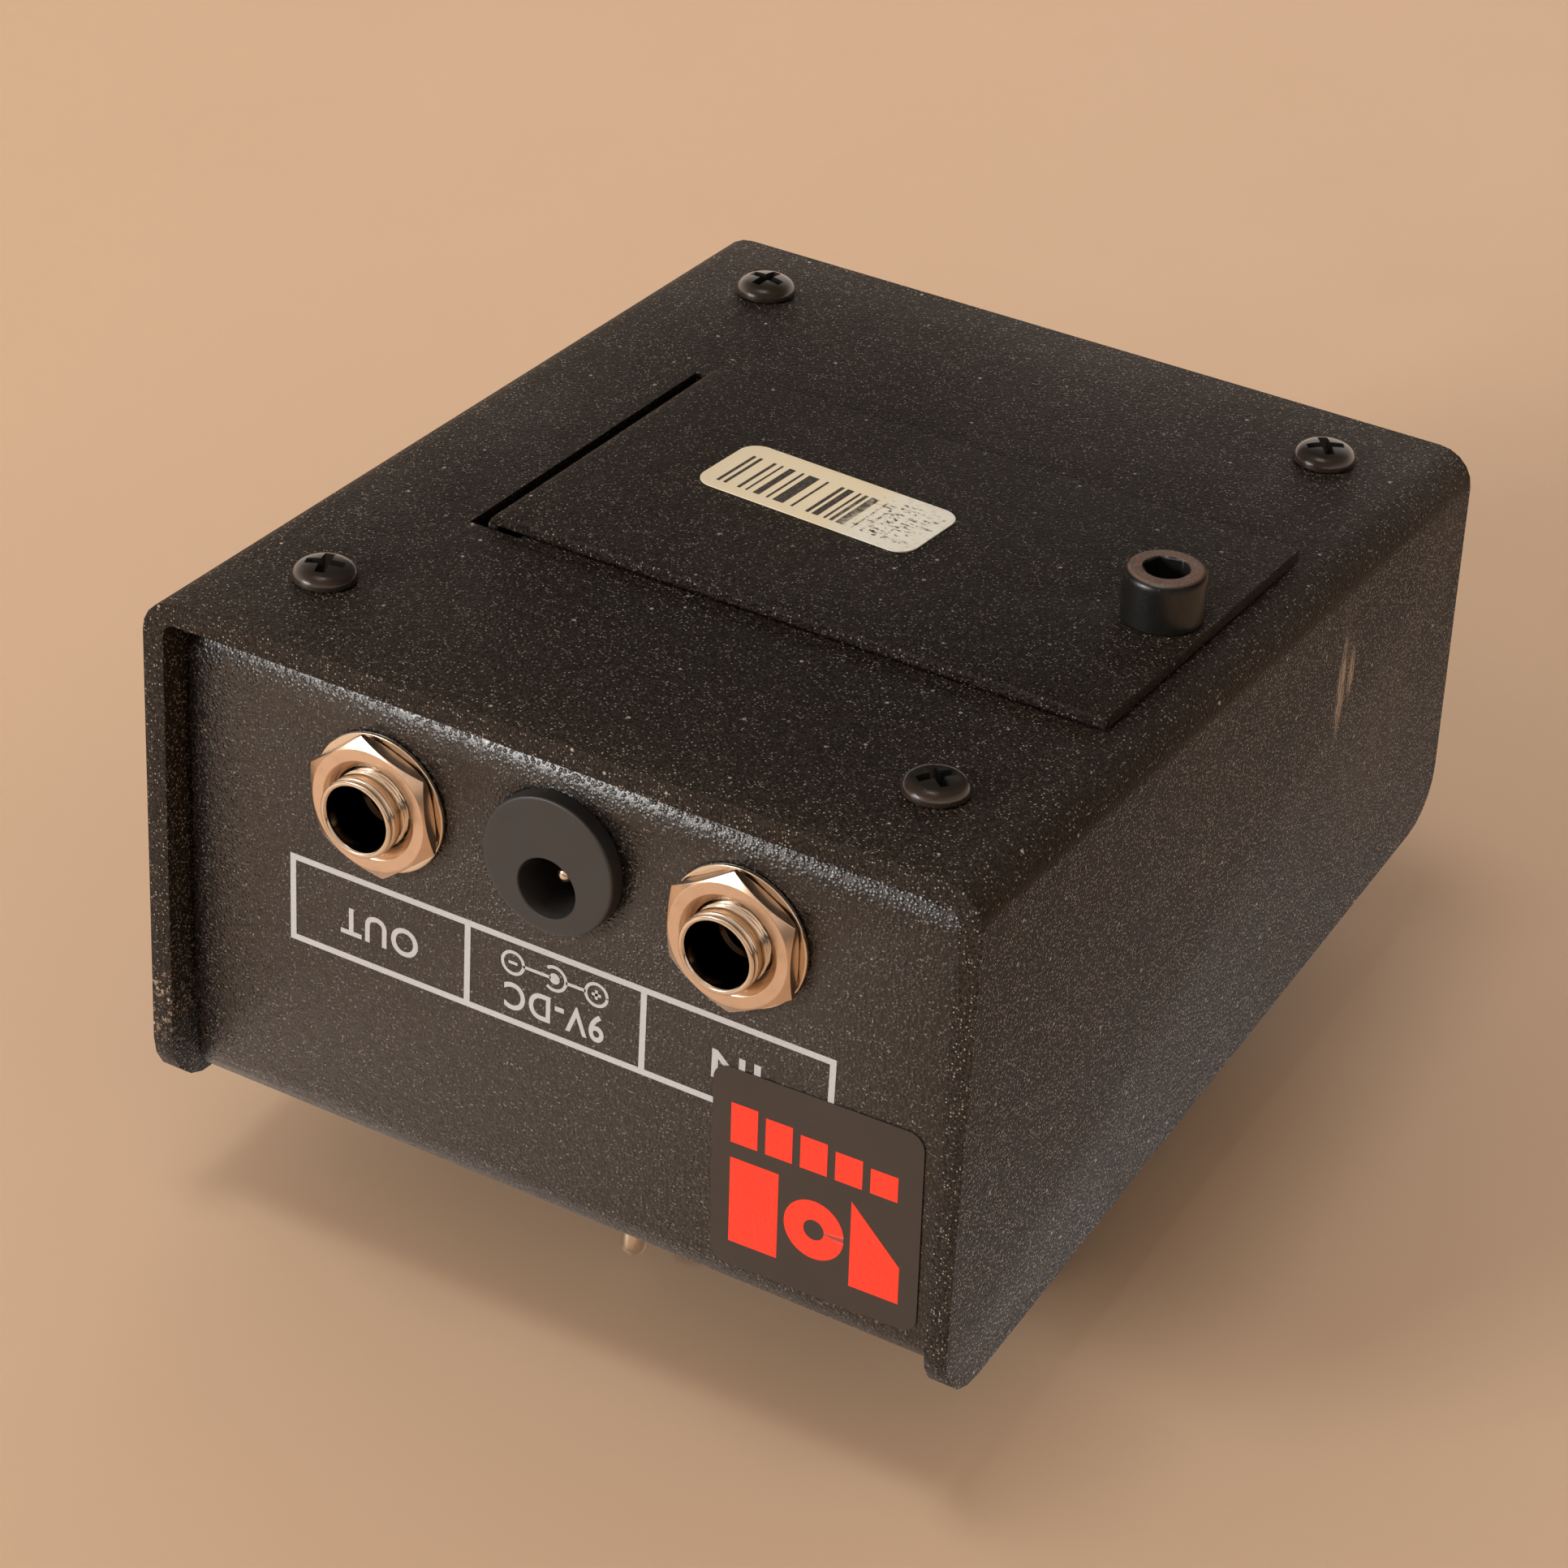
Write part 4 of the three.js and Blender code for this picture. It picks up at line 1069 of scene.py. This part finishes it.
# A block, a ring, a sloped block and a row of stripes, in the sticker's own frame
def motifMesh():
    half, inner, foot, top = motif["half"], motif["inner"], motif["foot"], motif["top"]
    shapes = [
        bar(-half, foot, -inner, top),
        arcStroke(0.0, motif["ringAt"], motif["ringRadius"], motif["ringWide"]),
        printed([(inner, foot), (half, foot), (half, motif["slopeEnd"]), (inner, top)]),
    ]
    for count in range(motif["stripes"]):
        left = motif["stripeStep"] * count - half
        reach = motif["stripeTop"] - motif["stripeFall"] * count
        shapes.append(bar(left, motif["stripeFoot"], left + motif["stripeWide"], reach))
    return joined(shapes)


def addSticker():
    centre = middleOf("maker_sticker")
    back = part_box("maker_sticker")[0].y
    place = facing(Vector((centre.x, back, centre.z)), (0, 1, 0))
    place = place @ Matrix.Rotation(math.radians(sticker["turn"]), 4, "Z")
    addPiece("makerSticker", film(sticker), "case", "sticker_film", place, ("maker_sticker",))
    over = place @ Matrix.Translation((0, 0, (filmThick - 0.01) * mm))
    addPiece("stickerPrint", motifMesh(), "case", "sticker_film", over, finish=redInk)


def addLabel():
    centre = middleOf("id_label")
    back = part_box("id_label")[1].z
    turn = Matrix.Rotation(math.radians(label["turn"]), 4, "Z")
    place = facing(Vector((centre.x, centre.y, back)), (0, 0, -1)) @ turn
    addPiece("idLabel", film(label), "battery_door", "label_film", place, ("id_label",))


legend = {
    "halfWide": 35.5,
    "low": 29.4,
    "high": 40.1,
    "divider": 11.6,
    "line": 0.78,
    "base": 8.0,  # from the floor to the base plate
    "polarity": 32.4,
    "words": (("OUT", -23.6, 35.3, 10.6, 3.7), ("IN", 23.6, 35.3, 6.2, 3.7), ("9V-DC", 0, 36.8, 13.2, 3.6)),
}


def addLegend():
    low, high, half = legend["low"], legend["high"], legend["line"] / 2
    wide, base = legend["halfWide"], legend["base"]
    place = facing(Vector((0, rearFace, base * mm)), (0, 1, 0))
    strokes = [bar(-wide - half, -low - half, wide + half, -low + half),
               bar(-wide - half, -high - half, wide + half, -high + half)]
    for x in (-wide, -legend["divider"], legend["divider"], wide):
        strokes.append(bar(x - half, -high + half, x + half, -low - half))
    addPiece("legendFrame", joined(strokes), "case", "leather_coat", place, finish=paleInk)
    for text, x, z, wide, tall in legend["words"]:
        addWord(text, facing(Vector((x * mm, rearFace, (z + base) * mm)), (0, 1, 0)), wide, tall)
    addPolarity(facing(Vector((0, rearFace, (legend["polarity"] + base) * mm)), (0, 1, 0)))


# An arc drawn as a flat stroke, from one angle to another in degrees
def arcStroke(x, y, radius, wide, start=0, end=360, steps=40):
    angles = [math.radians(start + (end - start) * step / steps) for step in range(steps + 1)]
    inner, outer = radius - wide / 2, radius + wide / 2
    section = ((inner, 0), (outer, 0), (outer, printThick), (inner, printThick))
    return skin([[(x + r * math.cos(a), y + r * math.sin(a), z) for r, z in section] for a in angles])


# Minus ring, centre contact and plus ring
def addPolarity(place):
    wide, apart, ring, sign = 0.4, 5.5, 1.4, 0.18
    half = wide / 2
    marks = [
        arcStroke(-apart, 0, ring, wide), arcStroke(apart, 0, ring, wide),
        arcStroke(0, 0, ring + 0.1, wide, 130, -130), arcStroke(0, 0, 0.35, 0.68),
        bar(ring - apart, -half, -0.5, half), bar(ring + 0.1, -half, apart - ring, half),
        bar(-apart - 0.6, -sign, 0.6 - apart, sign), bar(apart - 0.6, -sign, apart + 0.6, sign),
        bar(apart - sign, -0.6, apart + sign, 0.6),
    ]
    addPiece("legendPolarity", joined(marks), "case", "leather_coat", place, finish=paleInk)


# Lettering that reads upright from behind while the pedal stands on its base
def addWord(text, place, wide, tall):
    curve = bpy.data.curves.new("word", "FONT")
    curve.body = text
    curve.size = tall * 1.4 * mm
    curve.align_x = "CENTER"
    curve.align_y = "CENTER"
    curve.extrude = 0.015 * mm
    curve.offset = 0.09 * mm
    curve.space_character = 1.12
    holder = bpy.data.objects.new("word", curve)
    bpy.context.scene.collection.objects.link(holder)
    mesh = bpy.data.meshes.new_from_object(holder.evaluated_get(bpy.context.evaluated_depsgraph_get()))
    bpy.data.objects.remove(holder)
    low = Vector([min(vert.co[i] for vert in mesh.vertices) for i in range(3)])
    high = Vector([max(vert.co[i] for vert in mesh.vertices) for i in range(3)])
    mesh.transform(Matrix.Translation(-(low + high) / 2))
    mesh.transform(Matrix.Diagonal((wide * mm / (high.x - low.x), tall * mm / (high.y - low.y), 1, 1)))
    upright = place @ Matrix.Rotation(math.pi, 4, "Z")
    name = "legend" + "".join(letter for letter in text if letter.isalnum())
    addPiece(name, mesh, "case", "leather_coat", upright, finish=paleInk)


addSticker()
addLabel()
addLegend()

print("controls")
knob = {
    "radius": 9.5,
    "top": 8.3,
    "tall": 17.1,
    "skirt": 1.2,
    "bore": 3.3,
    "boreFrom": 6.7,
    "crown": 3.2,
    "dish": 0.35,
    "flutes": 12,
    "fluteDeep": 0.75,
    "pointer": {"wide": 1.1, "from": 1.2, "to": 5.2, "thick": 0.04},
}
potNut = {"flats": 10, "tall": 2, "bore": 3.8, "turn": 0.3, "lift": 0.3}


def knobMesh():
    spec = knob
    radius, top, tall, skirt = spec["radius"], spec["top"], spec["tall"], spec["skirt"]
    inner, bore, hollow = radius - 2.2, spec["bore"], spec["boreFrom"]
    dish, crown = tall - spec["dish"], tall - spec["crown"]

    def flute(angle, reach, height):
        if height < skirt + 2.3 or reach < top - 1.4:
            return reach
        phase = (angle * spec["flutes"] / (2 * math.pi)) % 1 - 0.5
        return reach - spec["fluteDeep"] * max(0, 1 - (phase / 0.22) ** 2)

    return turned([
        (inner, skirt), (radius, skirt, 0.3), (radius, skirt + 1.6, 0.4), (radius - 0.55, skirt + 2.4, 0.3),
        (radius - 0.75, skirt + 5, 0), (top + 0.2, tall - 4, 0), (top, tall - 1.2, 0.5),
        (top - 1.1, tall, 0.5), (5.6, tall - 0.02, 0.2), (5.3, dish, 0.2), (0, dish), (0, crown),
        (bore, crown), (bore, hollow), (inner, hollow), (inner, skirt),
    ], 192, flute)


def addKnob(side):
    place = facing(Vector(jointNamed(f"{side}_knob_turn")["pos_m"]), panelOut)
    body = f"{side}_knob"
    addPiece(f"knobBody{side.title()}", knobMesh(), body, "knob_plastic", place, (f"knob_{side}",), 40)
    pointer = knob["pointer"]
    half = pointer["wide"] / 2
    lift = knob["tall"] - knob["dish"] - 0.01
    line = bar(-half, pointer["from"], half, pointer["to"], lift, pointer["thick"])
    addPiece(f"knobPointer{side.title()}", line, body, "knob_plastic", place, finish=whiteInk)
    nut = hexNut(potNut["flats"], potNut["tall"], potNut["bore"], potNut["turn"])
    seat = place @ Matrix.Translation((0, 0, potNut["lift"] * mm))
    addPiece(f"potNut{side.title()}", nut, "case", "nickel", seat, (f"pot_{side}_nut",))


# A node's frame on the top panel
def panelPlace(node):
    centre = middleOf(node)
    origin = Vector(panelJoint["pos_m"])
    return facing(centre - panelOut * (centre - origin).dot(panelOut), panelOut)


footswitch = {
    "button": 4.9,
    "stem": 3.2,
    "foot": 2.5,
    "shoulder": 11,
    "top": 17.4,
    "nut": {"flats": 15, "tall": 2.6, "bore": 6.3, "turn": 0.2, "lift": 1.5},
    "washer": {"outer": 8.6, "inner": 6.3, "foot": 0.3, "top": 1.2},
}


def addFootswitch():
    spec = footswitch
    place = panelPlace("footswitch_nut")
    wide, stem, foot, shoulder, top = (spec[part] for part in ("button", "stem", "foot", "shoulder", "top"))
    plunger = turned([
        (0, foot), (stem, foot, 0), (stem, shoulder, 0.1), (wide, shoulder, 0.2), (wide, top - 1.8, 0.3),
        (wide - 0.45, top - 0.65, 0.5), (3.3, top - 0.1, 0.9), (1.2, top, 0.6), (0, top),
    ], 96)
    addPiece("footswitchButton", plunger, "footswitch_button", "nickel", place, ("footswitch_plunger",))
    nut = spec["nut"]
    body = hexNut(nut["flats"], nut["tall"], nut["bore"], nut["turn"])
    seat = place @ Matrix.Translation((0, 0, nut["lift"] * mm))
    easeEdges(addPiece("footswitchNut", body, "case", "nickel", seat, ("footswitch_nut",), 25), 0.1)
    inner, outer, low, high = (spec["washer"][part] for part in ("inner", "outer", "foot", "top"))
    washer = turned([(inner, low), (outer, low, 0.1), (outer, high, 0.15), (inner, high), (inner, low)], 96)
    addPiece("footswitchWasher", washer, "case", "nickel", place, ("footswitch_washer",))


toggle = {
    "lean": -12,
    "nut": {"flats": 8, "tall": 1.8, "bore": 3.3, "turn": 0.5, "lift": 0.3},
    "ball": [(0, -1.6), (1.1, -1.25, 0.4), (1.6, 0, 0.9), (1.3, 1.2, 0.5)],
    "bat": [(1.05, 2.2, 0.4), (1.15, 4, 0.4), (1.55, 9.3, 0.8), (1.5, 10.6, 0.5), (0.95, 11.3, 0.4),
            (0, 11.5)],
}


def addToggle():
    nut = toggle["nut"]
    body = hexNut(nut["flats"], nut["tall"], nut["bore"], nut["turn"])
    seat = panelPlace("toggle_nut") @ Matrix.Translation((0, 0, nut["lift"] * mm))
    easeEdges(addPiece("toggleNut", body, "case", "nickel", seat, ("toggle_nut",), 25), 0.08)
    lever = turned(toggle["ball"] + toggle["bat"], 48)
    pivot = facing(Vector(jointNamed("toggle_flip")["pos_m"]), panelOut)
    place = pivot @ Matrix.Rotation(math.radians(toggle["lean"]), 4, "X")
    addPiece("toggleLever", lever, "toggle_lever", "nickel", place, ("toggle_lever",), 60)


lamp = {"bore": 2.8, "barrel": 3.9, "flange": 5.1, "lens": 2.5, "foot": -7, "lensFoot": -6, "domeFrom": 1.4}


def addLamp():
    place = panelPlace("lamp_bezel")
    bore, barrel, flange, foot = lamp["bore"], lamp["barrel"], lamp["flange"], lamp["foot"]
    bezel = turned([
        (bore, foot), (barrel, foot), (barrel, 0.3), (flange, 0.3, 0.1), (flange, 1.0, 0.2),
        (flange - 0.7, 1.9, 0.4), (bore + 0.3, 1.9, 0.3), (bore, 1.2, 0.1), (bore, foot),
    ], 96)
    addPiece("lampBezel", bezel, "case", "nickel", place, ("lamp_bezel",))
    radius, low, base = lamp["lens"], lamp["lensFoot"], lamp["domeFrom"]
    angles = [part * math.pi / 20 for part in range(1, 10)]
    dome = [(radius * math.cos(a), base + radius * math.sin(a)) for a in angles]
    lens = turned([(0, low), (radius, low), (radius, base), *dome, (0, base + radius)], 64)
    addPiece("lampLens", lens, "case", "lamp_lens", place, ("lamp",), 60)


for side in ("left", "middle", "right"):
    addKnob(side)
addFootswitch()
addToggle()
addLamp()
